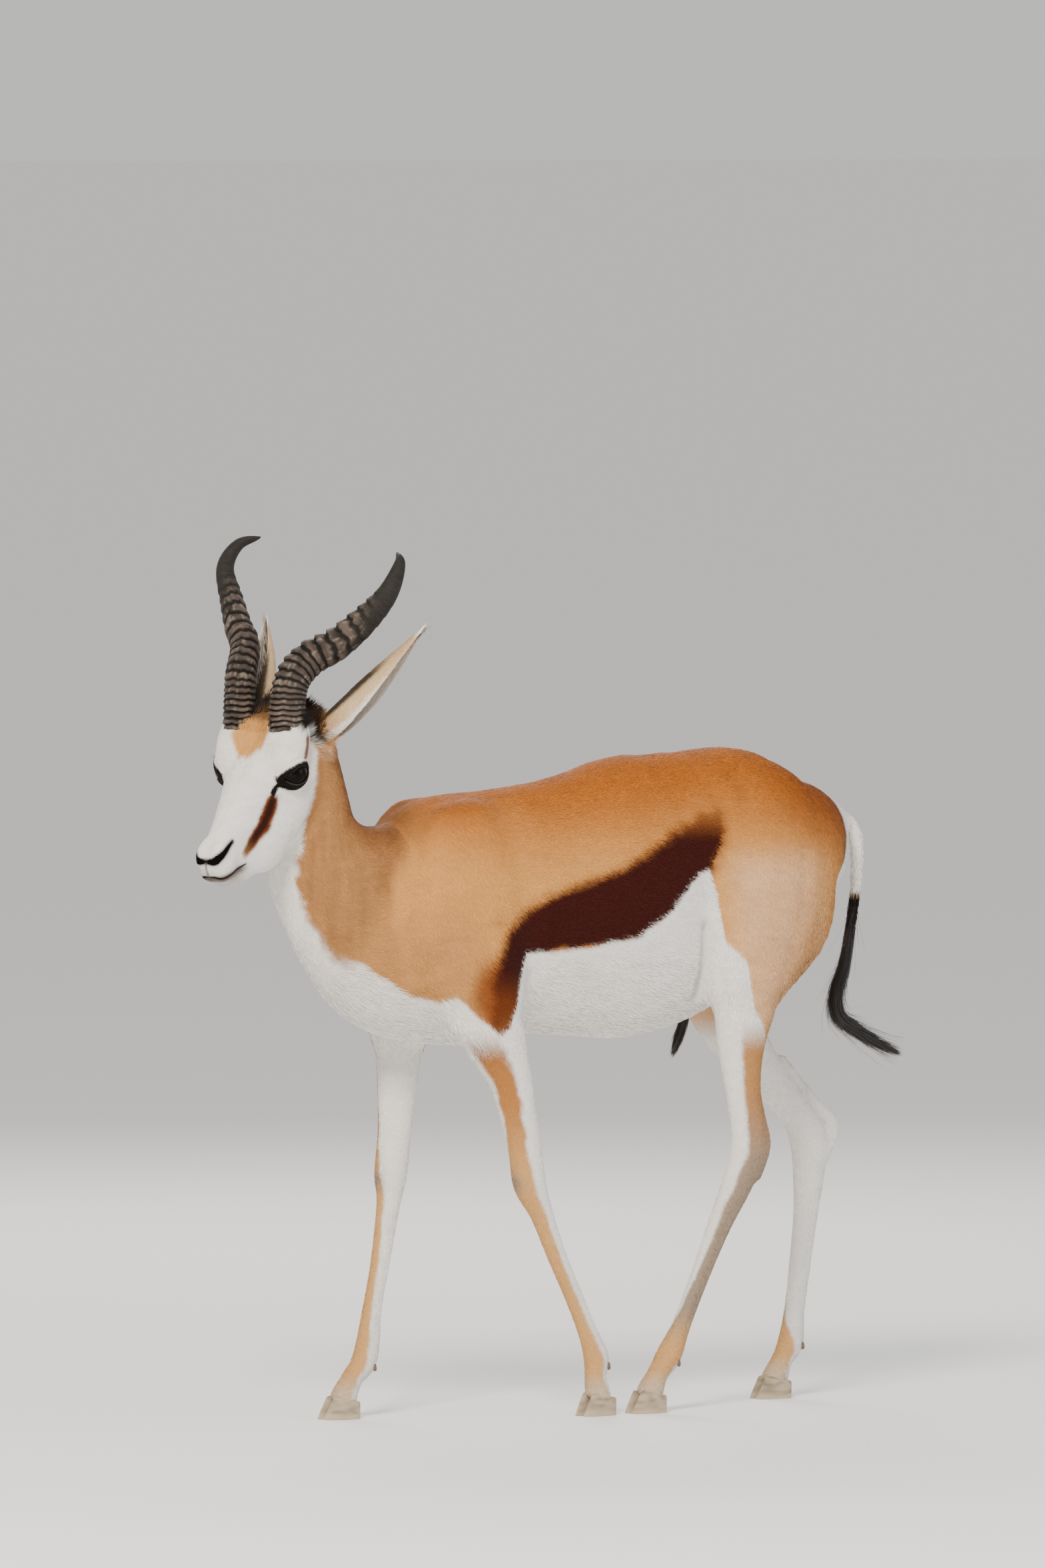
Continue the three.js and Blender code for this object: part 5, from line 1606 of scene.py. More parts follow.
class Lie:
    """Which way the coat lies at each place."""

    def __init__(self, body: Flesh) -> None:
        self.body = body

    def way(self, p: Array, n: Array) -> Array:
        """Directions of the hair along the skin, from root to tip.

        Args:
            p: rows of points on the skin.
            n: the outward directions there.
        Returns:
            One unit vector a point.
        """
        body = self.body
        total = np.zeros(p.shape)

        def add(distance: Array, way: Array, strength: float = 1.0) -> None:
            """Adds one body's way, weaker the farther off it lies."""
            weight = np.exp(-np.clip(distance, -45, 90) / 13) * strength
            total[:] += weight[:, None] * way

        down = np.array([0, 0, -1.0])
        slant = np.clip(np.abs(n[:, 1]), 0, 1)[:, None]
        back = np.array([1.0, 0, 0]) + down * 0.42 * slant
        back = mixed(back, down + np.array([0.25, 0, 0]), ramp(280, 370, p[:, 0]))
        add(body.trunk.distance(p), back)
        for leg in body.legs.values():
            spot = self._along(leg, p)
            add(leg.distance(p), spot + np.array([0.18, 0, -0.1]), 0.9)
        neck = -self._along(body.neck, p)
        add(body.neck.distance(p), neck + np.array([0.25, 0, 0]))
        add(body.dock.distance(p), self._along(body.dock, p), 3.0)
        near = body.head.near(p)
        if near.any():
            q = body.head.own(p[near])
            d = body.head.distance(p[near])
            rise = np.where(q[:, 1] < -62, -0.35, 0.1)
            spread = np.stack([-np.ones(len(q)), rise, 0.25 * np.sign(q[:, 2])], -1)
            spread = mixed(spread, np.array([-1.0, -0.5, 0]), ramp(10, -40, q[:, 0]))
            weight = np.exp(-np.clip(d, -45, 90) / 13) * 1.6
            total[near] += weight[:, None] * (spread @ body.head.ways)
        sway = noise(p, 34, 21) * 0.22 + noise(p, 11, 22) * 0.13
        flat = unit(total - (total * n).sum(1, keepdims=True) * n)
        return unit(flat + np.cross(n, flat) * sway[:, None])

    @staticmethod
    def _along(sweep: Sweep, p: Array) -> Array:
        """Direction of a body's line beside each point, nothing far from it."""
        result = np.zeros(p.shape)
        near = ((p > sweep.low) & (p < sweep.high)).all(axis=1)
        if near.any():
            result[near] = sweep.local(p[near]).along
        return result


@dataclass(frozen=True)
class Hair:
    """One kind of tuft: lengths in millimetres, and how many grow on a square metre."""

    length: float
    width: float
    lift: float
    number: float
    scatter: float = 0.16


def ribbons(paths: Array, across: Array, width: Array, tones: Array, roots: Array) -> Surface:
    """Flat tapering blades along many paths.

    Args:
        paths: one row of points for each blade, from root to tip.
        across: direction of each blade's width at its points.
        width: half width of each blade at its points but the tip.
        tones: colours of each blade's points.
        roots: place of each blade on the unwrapped skin, from 0 to 1.
    Returns:
        All blades as one surface, each with a small patch on the unwrapped skin.
    """
    count, points = paths.shape[:2]
    body = paths[:, :-1]
    shift = across[:, :-1] * width[..., None]
    left, right = body - shift, body + shift
    spots = np.concatenate([np.stack([left, right], 2).reshape(count, -1, 3), paths[:, -1:]], axis=1)
    tint = np.concatenate([np.repeat(tones[:, :-1], 2, axis=1), tones[:, -1:]], axis=1)
    size = 2 * points - 1
    quads = [(2 * k, 2 * k + 1, 2 * k + 3, 2 * k + 2) for k in range(points - 2)]
    quads.append((size - 3, size - 2, size - 1, size - 1))
    faces = np.array(quads)[None] + (np.arange(count) * size)[:, None, None]
    patch = 0.003
    along = np.repeat(np.linspace(0, 1, points)[:-1], 2).tolist() + [1.0]
    aside = [0.0, 1.0] * (points - 1) + [0.5]
    local = np.stack([aside, along], -1) * patch
    bake = np.clip(roots[:, None] + local[None], 0, 1)
    return Surface(spots.reshape(-1, 3), faces.reshape(-1, 4), tint.reshape(-1, 3), bake.reshape(-1, 2))


@dataclass
class Skin:
    """The finished skin with what the coat needs to know of it."""

    surface: Surface
    normal: Array
    body: Flesh
    markings: Markings
    lie: Lie

    def roots(self, hair: Hair, region: Array, random: np.random.Generator) -> tuple[Array, Array]:
        """Places for tufts, spread evenly over the faces in proportion to region.

        Args:
            hair: the kind of tuft.
            region: how thickly it grows on each face, 0 to 1.
            random: the source of chance.
        Returns:
            Points on the skin and the outward directions there.
        """
        p, f, n = self.surface.spots, self.surface.faces, self.normal
        a, b = p[f[:, 2]] - p[f[:, 0]], p[f[:, 3]] - p[f[:, 1]]
        area = np.linalg.norm(np.cross(a, b), axis=1) / 2 * 1e-6
        share = np.cumsum(area * region * hair.number)
        count = int(share[-1])
        pick = np.searchsorted(share, np.arange(count) + random.random(count))
        pick = np.minimum(pick, len(f) - 1)
        s, t = random.random((2, count, 1))
        corner = [f[pick, k] for k in range(4)]
        weights = ((1 - s) * (1 - t), s * (1 - t), s * t, (1 - s) * t)
        at = sum(w * p[c] for w, c in zip(weights, corner))
        out = unit(sum(w * n[c] for w, c in zip(weights, corner)))
        return at, out


@dataclass
class CoatPiece:
    """One area of the coat: its tufts, and how its skin is unwrapped for them."""

    name: str
    hair: Hair
    region: Array
    slot: str
    axis: tuple[Triple, Triple]
    seed: int

    def surface(self, skin: Skin) -> Surface:
        """Blades of three points that rise from under the skin and lie down towards their tips."""
        random = np.random.default_rng(self.seed)
        hair = self.hair
        at, out = skin.roots(hair, self.region, random)
        count = len(at)
        way = skin.lie.way(at, out)
        side = np.cross(out, way)
        turn = random.normal(0, hair.scatter, (count, 1))
        way = unit(way + side * turn)
        side = np.cross(out, way)
        grow = random.uniform(0.72, 1.25, (count, 1)) * self.growth(skin, at)[:, None]
        clump = 1 + 0.25 * noise(at, 9, self.seed)[:, None]
        long = hair.length * grow
        high = hair.lift * clump * random.uniform(0.6, 1.25, (count, 1)) * np.minimum(grow, 1.3)
        start = at - out * 0.7
        middle = at + way * long * 0.45 + out * high * 0.62
        tip = at + way * long + out * high + side * random.normal(0, 0.05, (count, 1)) * long
        roll = random.normal(0, 0.16, (count, 1))
        across = unit(side * np.cos(roll) + out * np.sin(roll))
        width = hair.width / 2 * random.uniform(0.7, 1.25, (count, 1)) * np.array([[0.7, 1.0]])
        tone = skin.markings.colour(at, out)
        patchy = noise(at, (24, 5, 7), self.seed + 1)[:, None]
        shade = random.normal(1, 0.06, (count, 1)) * (1 + 0.07 * patchy)
        tone = np.clip(tone * shade, 0.002, 1)
        # Painted shade: each blade is darker at its root; its tip is a little lighter.
        tones = np.stack([tone * 0.86, tone, np.clip(tone * 1.04, 0, 1)], 1)
        paths = np.stack([start, middle, tip], 1)
        return ribbons(paths, np.repeat(across[:, None], 3, 1), width, tones, self._unwrapped(at))

    def growth(self, skin: Skin, at: Array) -> Array:
        """Length of the hair at each root compared with its kind's length."""
        return np.ones(len(at))

    def _unwrapped(self, at: Array) -> Array:
        """Place along and round the piece's own axis, each from 0 to 1."""
        start, end = (np.array(v, float) for v in self.axis)
        run = end - start
        way = run / np.linalg.norm(run)
        aside = np.array([0, 1.0, 0]) - way * way[1]
        aside /= np.linalg.norm(aside)
        up = np.cross(way, aside)
        off = at - start
        off = off - np.outer(off @ way, way)
        angle = np.arctan2(off @ up, off @ aside) / (2 * np.pi) + 0.5
        along = (at - start) @ way
        along = (along - along.min()) / max(np.ptp(along), 1)
        angle = (angle - angle.min()) / max(np.ptp(angle), 0.1)
        return np.stack([along, angle], -1) * 0.99


@dataclass
class LongHair:
    """Loose hairs that follow one line in a bundle and spread at its end."""

    line: Array
    bundle: Array
    count: int
    start: tuple[float, float]
    reach: tuple[float, float]
    seed: int
    stray: float = 4.0
    width: float = 0.42
    points: int = 8

    def surface(self, tone: Array) -> Surface:
        """Each hair keeps its place in the bundle and drifts outwards to its own end.

        Args:
            tone: colour of the hair.
        """
        random = np.random.default_rng(self.seed)
        first = random.uniform(*self.start, (self.count, 1))
        last = np.minimum(first + random.uniform(*self.reach, (self.count, 1)), 1.0)
        s = first + (last - first) * np.linspace(0, 1, self.points)
        at, slope = smooth_line(self.line, s.ravel())
        along = unit(slope)
        side = unit(np.array([0, 1.0, 0]) - along * along[:, 1:2])
        rise = np.cross(side, along)
        radius = np.interp(s, np.linspace(0, 1, len(self.bundle)), self.bundle)
        angle = random.uniform(0, 2 * np.pi, (self.count, 1))
        angle = angle + random.normal(0, 0.5, (self.count, 1)) * (s - first)
        share = np.sqrt(random.uniform(0, 1, (self.count, 1)))
        drift = (s - first) / np.maximum(last - first, 1e-6)
        away = random.normal(0, 1, (self.count, 1)) ** 2 * self.stray * drift**2
        grown = radius * (share * 0.75 + 0.25) + away
        off = side * (np.cos(angle) * grown).reshape(-1, 1) + rise * (np.sin(angle) * grown).reshape(-1, 1)
        paths = (at + off).reshape(self.count, self.points, 3)
        across = unit(np.cross(along, off)).reshape(paths.shape)
        taper = np.linspace(1, 0.45, self.points)[None, :-1]
        thin = taper * random.uniform(0.7, 1.3, (self.count, 1)) * self.width
        paler = np.linspace(0.8, 1.25, self.points)[None, :, None]
        shade = random.uniform(0.7, 1.6, (self.count, 1, 1)) * paler
        roots = np.hstack([first, (angle[:, :1] / (2 * np.pi)) % 1]) * 0.99
        return ribbons(paths, across, thin, np.clip(tone * shade, 0, 1), roots)


class HeadCoat(CoatPiece):
    """Hair of the head, shortest on the muzzle and round the eyes."""

    def growth(self, skin: Skin, at: Array) -> Array:
        """Length and lift compared with the longest hair."""
        q = skin.body.head.own(at)
        size = 0.36 + 0.64 * ramp(200, 60, q[:, 0])
        for side in Side:
            far = np.linalg.norm(at - skin.body.eyes[side], axis=1)
            size = size * (0.55 + 0.45 * ramp(24, 36, far))
        for comma in skin.body.nostrils:
            size = size * (0.45 + 0.55 * ramp(2, 14, distance_to(at, comma[:, :3], comma[:, 3])))
        for line in skin.body.mouths:
            size = size * (0.5 + 0.5 * ramp(3, 14, distance_to(at, line)))
        return size * (1 + 0.7 * ramp(10, -30, q[:, 0]))


@dataclass
class EarCoat:
    """Short hair on the back of an ear, a pale fringe on its rims and loose hair in its opening."""

    ear: Ear
    seed: int

    def _laid(self, t: Array, across: Array) -> tuple[Array, Array, Array]:
        """Points, outward directions and directions to the tip at places on the outer face."""
        rows, columns = 80, 41
        spots, out, _ = self.ear.sheet(rows, columns)
        i = np.clip(t * (rows - 1), 0, rows - 1.001)
        j = np.clip((across + 1) / 2 * (columns - 1), 0, columns - 1.001)
        a, b = i.astype(int), j.astype(int)
        s, r = (i - a)[:, None], (j - b)[:, None]

        def read(grid: Array) -> Array:
            """Vectors of a grid, read between its points."""
            low = grid[a, b] * (1 - r) + grid[a, b + 1] * r
            high = grid[a + 1, b] * (1 - r) + grid[a + 1, b + 1] * r
            return low * (1 - s) + high * s

        at = read(spots)
        way = unit(spots[a + 1, b] - spots[a, b])
        return at, unit(read(out)), way

    def surface(self) -> Surface:
        """Tufts over the outer face, along both rims and inside."""
        random = np.random.default_rng(self.seed)
        parts = []
        for count, kind in ((7000, "back"), (1500, "rim"), (700, "inside")):
            t = random.uniform(0.0, 0.985, count)
            across = random.uniform(-1, 1, count)
            if kind == "rim":
                across = np.sign(across) * random.uniform(0.93, 1.0, count)
            at, out, way = self._laid(t, across)
            around = np.cross(way, out) * np.sign(across)[:, None]
            tone = Ear.outer_tone(out, np.stack([t, across], -1))
            if kind == "back":
                long, high, wide = random.uniform(3.5, 6.5, (count, 1)), 0.9, 0.95
            elif kind == "rim":
                long, high, wide = random.uniform(5, 11, (count, 1)), 0.4, 0.7
                way = unit(way + around * 0.25)
                pale = random.uniform(0.1, 0.9, count) * ramp(0.3, -0.1, out[:, 2])
                tone = mixed(tone, linear("#EDE6DA"), pale)
            else:
                at = at - out * (self.ear.thick + 0.2)
                out = -out
                long, high, wide = random.uniform(8, 17, (count, 1)), 4.5, 0.6
                tone = Ear.inner_tone(np.stack([t, across], -1)) * 0.6 + linear("#E4DACB") * 0.4
            long = long * (0.45 + 0.55 * np.sin(np.pi * np.clip(t, 0.04, 0.96)) ** 0.4)[:, None]
            side = np.cross(out, way)
            way = unit(way + side * random.normal(0, 0.14, (count, 1)))
            start = at - out * 0.5
            middle = at + way * long * 0.45 + out * high * 0.6
            tip = at + way * long + out * high
            shade = random.normal(1, 0.08, (count, 1))
            tone = np.clip(tone * shade, 0, 1)
            # Painted shade: each blade is darker at its root; its tip is a little lighter.
            tones = np.stack([tone * 0.75, tone, tone * 1.05], 1)
            width = wide / 2 * random.uniform(0.7, 1.2, (count, 1)) * np.array([[0.7, 1.0]])
            across_way = np.repeat(unit(side)[:, None], 3, 1)
            roots = np.stack([t, (across + 1) / 2], -1) * 0.99
            parts.append(ribbons(np.stack([start, middle, tip], 1), across_way, width, tones, roots))
        return merged(parts)


@dataclass
class OpeningShade:
    """Painted shade in a nostril or in the line between the lips: a flat dark band under the skin's edge."""

    line: Array
    radii: Array
    body: Flesh
    sunk: float
    tone: str
    rows: int = 60

    def surface(self) -> Surface:
        """Rings along the line, as wide as the opening and a fifth as high, sunk under the head's outline."""
        t = np.linspace(0, 1, self.rows)
        table = np.hstack([self.line, self.radii[:, None]])
        rows, slope = smooth_line(table, t)
        at, half = rows[:, :3], np.maximum(rows[:, 3], 0.3) * np.sqrt(np.maximum(1 - (2 * t - 1) ** 16, 0.02))
        step = np.eye(3) * 1.5
        gap = self.body.head.distance
        out = unit(np.array([gap(at + v) - gap(at - v) for v in step]).T)
        side = unit(np.cross(unit(slope[:, :3]), out))
        turn = np.linspace(0, 2 * np.pi, 12, endpoint=False)
        ring = side[:, None] * (np.cos(turn)[None] * half[:, None])[..., None]
        ring = ring + out[:, None] * (np.sin(turn)[None] * np.minimum(half * 0.4, 0.9)[:, None])[..., None]
        spots = (at - out * self.sunk)[:, None] + ring
        return capped(spots, np.broadcast_to(linear(self.tone), (spots.shape[0] * 12, 3)))


@dataclass
class LidRim:
    """The bare black edge of the lids: a thin rounded strip round the opening of an eye."""

    centre: Array
    frame: Array
    rows: int = 96

    def surface(self) -> Surface:
        """A flattened tube along the almond that the two lids leave open."""
        angle = np.linspace(0, 2 * np.pi, self.rows, endpoint=False)
        a = np.cos(angle)
        upper, lower = lid_edges(a)
        b = np.where(np.sin(angle) >= 0, upper, -lower)
        flat = np.stack([a * EYE_WIDE / 2 * 1.02, b], -1)
        radius = EYE_RADIUS + 1.1
        c = np.sqrt(np.maximum(radius**2 - (flat**2).sum(1), 30))
        line = np.hstack([flat, c[:, None]])
        out = unit(line)
        along = unit(np.roll(line, -1, 0) - np.roll(line, 1, 0))
        side = unit(np.cross(along, out))
        turn = np.linspace(0, 2 * np.pi, 10, endpoint=False)
        ring = side[:, None] * (np.cos(turn)[None, :, None] * 1.5)
        ring = ring + out[:, None] * (np.sin(turn)[None, :, None] * 0.9)
        spots = (line[:, None] + ring) @ self.frame + self.centre
        faces = sheet_faces(self.rows + 1, 10, ring=True) % (self.rows * 10)
        tone = np.broadcast_to(linear("#0D0A09"), (self.rows * 10, 3))
        return outward(Surface(spots.reshape(-1, 3), faces, tone))

    def lashes(self, seed: int) -> Surface:
        """Dark lashes that stand out from the upper lid and turn up."""
        random = np.random.default_rng(seed)
        count = 34
        a = random.uniform(-0.75, 0.8, count)
        b = lid_edges(a)[0] + 0.6
        flat = np.stack([a * EYE_WIDE / 2, b], -1)
        c = np.sqrt(np.maximum((EYE_RADIUS + 1.3) ** 2 - (flat**2).sum(1), 30))
        root = np.hstack([flat, c[:, None]])
        out = unit(root)
        long = random.uniform(6, 11, (count, 1))
        up = np.array([0, 1.0, 0])
        fan = np.hstack([a[:, None] * 0.5 + random.normal(0, 0.12, (count, 1)), np.zeros((count, 2))])
        steps = np.linspace(0, 1, 4)[None, :, None]
        way = unit(out + up * 0.1 + fan)[:, None]
        paths = root[:, None] + way * long[:, None] * steps + up * (long[:, None] * 0.12 * steps**2)
        across = unit(np.cross(way, up))
        paths = paths @ self.frame + self.centre
        across = np.repeat(across, 4, 1) @ self.frame
        width = np.full((count, 3), 0.16)
        tones = np.broadcast_to(linear("#15100D"), (count, 4, 3))
        return ribbons(paths, across, width, tones, random.random((count, 2)) * 0.99)


class Springbok:
    """Builds the whole animal, part after part."""

    FETLOCK = 70.0
    FINE_X = (-690.0, -440.0)
    FINE_Y = (-138.0, 24.0)
    FINE_Z = (692.0, 952.0)

    def __init__(self) -> None:
        self.body = Flesh()
        self.maker = Maker(Frame(self.body.eyes[Side.LEFT]))
        self.markings = Markings(self.body)

    def skin(self) -> Skin:
        """One skin over trunk, neck, head, legs and the root of the tail."""
        lines = (
            Net.axis(-720, 430, 5.0, self.FINE_X, 2.1),
            Net.axis(-142, 142, 4.2, self.FINE_Y, 2.4),
            Net.axis(-6, 985, 5.0, self.FINE_Z, 2.1),
        )
        surface = Net(self.body).build(lines)
        normal = normals(surface)
        tone = self.markings.colour(surface.spots, normal)
        # Painted shade: the skin under the coat is a little darker than its hair, so the gaps between tufts
        # read as shadow.
        surface.colour = np.clip(tone * 0.9, 0, 1)
        nodes = ["torso", "neck", "head", "tail", *(f"leg_{name}" for name in FEET)]
        self.maker.put("skin", surface, HIDE, "tan_coat", *nodes)
        return Skin(surface, normal, self.body, self.markings, Lie(self.body))

    def horns(self) -> None:
        """Both horns."""
        for side, path in ((Side.LEFT, HORN_LEFT), (Side.RIGHT, HORN_RIGHT)):
            name = side.name.lower()
            horn = Horn(self.body.head, path, side)
            self.maker.put(f"horn_sheath_{name}", horn.surface(), HORN, "horn", f"horn_{name}")

    def ears(self) -> None:
        """Both ears with their hair."""
        ways = {Side.LEFT: (0.55, -0.55, -0.6), Side.RIGHT: (-0.96, -0.26, -0.1)}
        bows = {Side.LEFT: 15.0, Side.RIGHT: 4.0}
        for side in Side:
            name = side.name.lower()
            ear = Ear(self.body.ear_bases[side], self.body.ear_tips[side], ways[side], bow=bows[side])
            self.maker.put(f"ear_leaf_{name}", ear.surface(), HIDE, "tan_coat", f"ear_{name}")
            self.maker.put(f"ear_hair_{name}", EarCoat(ear, 40 + side.value).surface(), HAIR, "tan_coat")

    def eyes(self) -> None:
        """Both eyes with lid rims and lashes."""
        for side in Side:
            name = side.name.lower()
            centre, own = self.body.eyes[side], self.body.eye_frames[side]
            self.maker.put(f"eyeball_{name}", Eyeball(centre, own).surface(), WET_EYE, "eye", f"eye_{name}")
            rim = LidRim(centre, own)
            self.maker.put(f"lid_rim_{name}", rim.surface(), BARE, "dark_hair")
            self.maker.put(f"lashes_{name}", rim.lashes(60 + side.value), DARK_HAIR, "dark_hair")

    def openings(self) -> None:
        """Dark bands of painted shade in the nostrils and in the line between the lips."""
        body = self.body
        for side, comma, mouth in zip(Side, body.nostrils, body.mouths):
            name = side.name.lower()
            nostril = OpeningShade(comma[:, :3], comma[:, 3] * 0.95 + 0.4, body, 1.9, "#070505")
            self.maker.put(f"nostril_{name}", nostril.surface(), OPENING_SHADE, "dark_hair")
            lips = OpeningShade(mouth, np.linspace(1.7, 0.7, len(mouth)), body, 1.6, "#231C19")
            self.maker.put(f"lip_line_shade_{name}", lips.surface(), OPENING_SHADE, "dark_hair")

    def hooves(self) -> None:
        """Eight claws, and the dewclaws behind the fetlocks."""
        for foot in FEET:
            for side, name in ((-1, "left"), (1, "right")):
                claw = Claw(foot, side).surface()
                self.maker.put(f"claw_{foot}_{name}", claw, HOOF, "hoof", f"hoof_{foot}_{name}")
            leg = self.body.legs[foot]
            fetlock = np.argmin(np.abs(leg.at[:, 2] - self.FETLOCK))
            back = unit(leg.rise[fetlock] * np.array([-1, -1, 0]))
            for side, name in ((-1, "left"), (1, "right")):
                root = leg.at[fetlock] + back * (leg.size[fetlock, 0] - 7) + np.array([0, side * 8.5, 0])
                self.maker.put(f"dewclaw_{foot}_{name}", Dewclaw(root, back).surface(), HOOF, "hoof")

    def brushes(self) -> None:
        """The black brush of the tail and the tuft under the belly."""
        beyond = [(370, 0, 494), (392, 0, 480), (424, 0, 462), (460, 0, 447)]
        tail = np.array([row[:3] for row in TAIL_DOCK[2:]] + beyond, float)
        bundle = np.array([5, 6, 6.5, 7.5, 8.5, 9, 9, 8, 5, 2.0])
        black = linear("#17110E")
        hair = LongHair(tail, bundle, 2600, (0.10, 0.62), (0.16, 0.62), 31, 3.0)
        self.maker.put("tail_brush", hair.surface(black), DARK_HAIR, "dark_hair")
        tuft = np.array([(136, 0, 522), (130, 0, 495), (122, 0, 474), (114, 0, 452)], float)
        hair = LongHair(tuft, np.array([7, 7, 6, 2.5]), 420, (0.0, 0.25), (0.5, 0.85), 32, 1.0)
        self.maker.put("belly_tuft", hair.surface(black * 1.2), DARK_HAIR, "dark_hair", "sheath_tuft")

    def coat(self, skin: Skin) -> None:
        """Tufts over the whole skin, in pieces that follow its areas."""
        p, f = skin.surface.spots, skin.surface.faces
        c = p[f].mean(1)
        n = unit(skin.normal[f].mean(1))
        x, y, z = c.T
        body, face = self.body.parts(c)
        head = face < body + 2
        ahead = self.body.before_shoulders(c)
        neck = ~head & (ahead > 0)
        tail = (self.body.dock.distance(c) < 4) & (x > 366) & (z < 742)
        gaps = {name: leg.distance(c) for name, leg in self.body.legs.items()}
        nearest = np.argmin(np.array(list(gaps.values())), axis=0)
        low = (z < 470) | ((x > 90) & ((x - 96) * 0.56 + 466 - z > 0))
        rest = ~head & ~neck & ~tail
        bare = np.zeros(len(c))
        for comma in self.body.nostrils:
            bare = np.maximum(bare, distance_to(c, comma[:, :3], comma[:, 3]) < 2.4)
        for line in self.body.mouths:
            bare = np.maximum(bare, distance_to(c, line) < 3.0)
        for side in Side:
            bare = np.maximum(bare, np.linalg.norm(c - self.body.eyes[side], axis=1) < EYE_RADIUS + 1.6)
        grown = 1 - bare
        flank = Hair(7.5, 0.82, 0.6, 400000, 0.12)
        under = Hair(11.0, 1.05, 1.5, 260000, 0.18)
        hairs = Hair(4.8, 0.6, 0.5, 850000, 0.14)
        throat = Hair(7.5, 0.75, 0.6, 560000, 0.14)
        crest = Hair(10, 0.5, 11, 1000000, 0.25)
        ruffled = Hair(7, 0.45, 3.2, 1000000, 0.3)
        loose = Hair(11, 0.5, 3, 1000000, 0.22)
        trunk_axis = ((-400.0, 0.0, 650.0), (380.0, 0.0, 720.0))
        neck_axis = ((-300.0, 0.0, 600.0), (-440.0, -10.0, 860.0))
        tail_axis = ((392.0, 0.0, 740.0), (362.0, 0.0, 506.0))
        belly = rest & ~low & (z < 600) & (n[:, 2] < -0.3)
        high = rest & ~low & ~belly & (z > 745)
        side = rest & ~low & ~belly & (z <= 745)
        own = self.body.head.own(c)
        f, u, l = own[:, 0], own[:, 1], own[:, 2]
        face_axis = (tuple(HEAD_AT), tuple(self.body.head.point(200, 0, 0)))
        near_ear = np.minimum(*(np.linalg.norm(c - self.body.ear_bases[s], axis=1) for s in Side))
        poll = head & (self.body.head.poll(f, l) < 1.1) & (u > -64)
        between = head & (f > -22) & (f < 14) & (np.abs(l) < 24) & (u > -40)
        ear_root = (near_ear < 34) & ~poll & (f < -8)
        pieces = [
            CoatPiece("coat_back_left", flank, grown * (high & (y < 0)), "tan_coat", trunk_axis, 1),
            CoatPiece("coat_back_right", flank, grown * (high & (y >= 0)), "tan_coat", trunk_axis, 8),
            CoatPiece("coat_flank_left", flank, grown * (side & (y < 0)), "tan_coat", trunk_axis, 2),
            CoatPiece("coat_flank_right", flank, grown * (side & (y >= 0)), "tan_coat", trunk_axis, 3),
            CoatPiece("coat_belly", under, grown * belly, "white_coat", trunk_axis, 4),
            CoatPiece("coat_neck", throat, grown * neck, "tan_coat", neck_axis, 5),
            HeadCoat("coat_face_left", hairs, grown * (head & (l > 0)), "white_coat", face_axis, 6),
            HeadCoat("coat_face_right", hairs, grown * (head & (l <= 0)), "white_coat", face_axis, 9),
            CoatPiece("coat_poll", crest, poll * 1.0, "dark_hair", face_axis, 20),
            CoatPiece("coat_between_horns", ruffled, between * 1.0, "tan_coat", face_axis, 21),
            CoatPiece("coat_ear_roots", loose, ear_root * 1.0, "tan_coat", face_axis, 22),
            CoatPiece("coat_tail", Hair(9, 1.1, 2.0, 400000), grown * tail, "white_coat", tail_axis, 7),
        ]
        short = Hair(4.8, 0.85, 0.45, 360000, 0.12)
        for k, name in enumerate(self.body.legs):
            rows = self.body.legs[name].at
            axis = (tuple(rows[10]), tuple(rows[-1]))
            region = grown * (rest & low & (nearest == k))
            pieces.append(CoatPiece(f"coat_leg_{name}", short, region, "white_coat", axis, 10 + k))
        for piece in pieces:
            self.maker.put(piece.name, piece.surface(skin), HAIR, piece.slot)


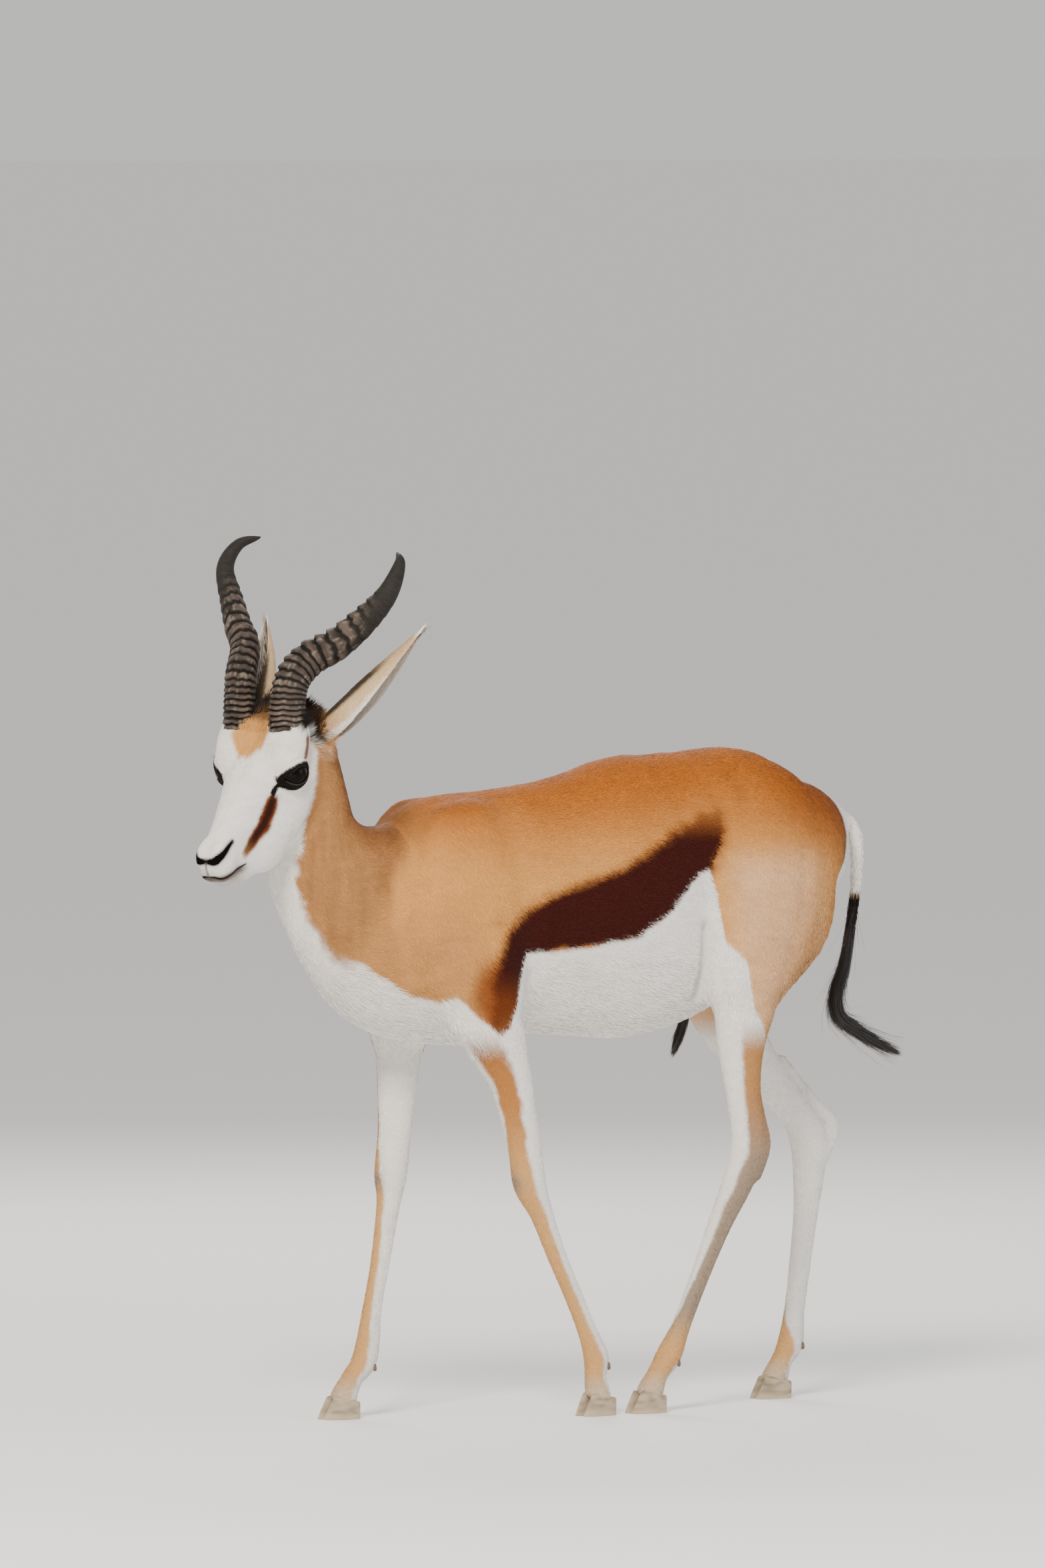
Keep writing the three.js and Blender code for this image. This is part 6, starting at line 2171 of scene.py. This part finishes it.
class Studio:
    """A pale floor, soft light and the camera at the photo's place."""

    AZIMUTH = math.radians(-30)
    HEIGHT = math.radians(2.5)
    DISTANCE = 20.0
    SEEN = 2352 / 1165
    AIM = (-82.0, 47.0, 809.0)

    def __init__(self, maker: Maker) -> None:
        self.aim = Vector(maker.frame_of.metres(np.array(self.AIM)))

    def floor(self) -> None:
        """A wide pale floor."""
        mesh = bpy.data.meshes.new("floor")
        wide = 400.0
        square = [(-wide, -wide, 0), (wide, -wide, 0), (wide, wide, 0), (-wide, wide, 0)]
        mesh.from_pydata(square, [], [(0, 1, 2, 3)])
        made = bpy.data.materials.new("pale studio floor")
        made.use_nodes = True
        shader = made.node_tree.nodes["Principled BSDF"]
        shader.inputs["Base Color"].default_value = (*linear("#F9F8F6"), 1)
        shader.inputs["Roughness"].default_value = 0.95
        shader.inputs["Specular IOR Level"].default_value = 0.1
        mesh.materials.append(made)
        plane = bpy.data.objects.new("floor", mesh)
        bpy.context.scene.collection.objects.link(plane)
        plane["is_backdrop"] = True

    def lamp(self, name: str, place: Triple, power: float, size: float, tint: str) -> None:
        """One square soft light aimed at the middle of the animal."""
        light = bpy.data.lights.new(name, "AREA")
        light.energy, light.size = power, size
        light.color = tuple(linear(tint))
        lamp = bpy.data.objects.new(name, light)
        lamp.location = place
        lamp.rotation_euler = (self.aim - Vector(place)).to_track_quat("-Z", "Y").to_euler()
        bpy.context.scene.collection.objects.link(lamp)

    def light(self) -> None:
        """A large key from the front left above, a fill, a light from behind and a pale surrounding."""
        self.lamp("key", (-3.2, -3.4, 4.2), 380, 1.5, "#FFF6EA")
        self.lamp("fill", (3.6, -4.2, 1.8), 60, 3.0, "#EAF1FF")
        self.lamp("back", (1.5, 3.6, 3.2), 110, 2.0, "#FFFFFF")
        world = bpy.data.worlds.new("pale surrounding")
        world.use_nodes = True
        ground = world.node_tree.nodes["Background"]
        ground.inputs["Color"].default_value = (*linear("#F2F1EF"), 1)
        ground.inputs["Strength"].default_value = 0.78
        bpy.context.scene.world = world

    def camera(self) -> None:
        """A long lens at the photo's azimuth and height, framing what the photo frames."""
        data = bpy.data.cameras.new("camera")
        data.sensor_width = 36.0
        data.lens = data.sensor_width * self.DISTANCE / self.SEEN
        data.clip_end = 2000.0
        eye = bpy.data.objects.new("camera", data)
        level = math.cos(self.HEIGHT)
        x, y = math.sin(self.AZIMUTH) * level, -math.cos(self.AZIMUTH) * level
        back = Vector((x, y, math.sin(self.HEIGHT)))
        eye.location = self.aim + back * self.DISTANCE
        eye.rotation_euler = back.to_track_quat("Z", "Y").to_euler()
        bpy.context.scene.collection.objects.link(eye)
        bpy.context.scene.camera = eye

    def build(self) -> None:
        """Floor, lights and camera."""
        self.floor()
        self.light()
        self.camera()


def corners(bounds: tuple[Vector, Vector]) -> list[list[float]]:
    """Two corners as plain lists."""
    return [[round(v, 6) for v in corner] for corner in bounds]


def main() -> None:
    """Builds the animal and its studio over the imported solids."""
    logging.basicConfig(level=logging.INFO, format="%(message)s")
    solids = corners(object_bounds())
    animal = Springbok()
    skin = animal.skin()
    animal.horns()
    animal.ears()
    animal.eyes()
    animal.openings()
    animal.hooves()
    animal.brushes()
    animal.coat(skin)
    Studio(animal.maker).build()
    {"solids": solids, "model": corners(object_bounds())}


if __name__ == "__main__":
    main()
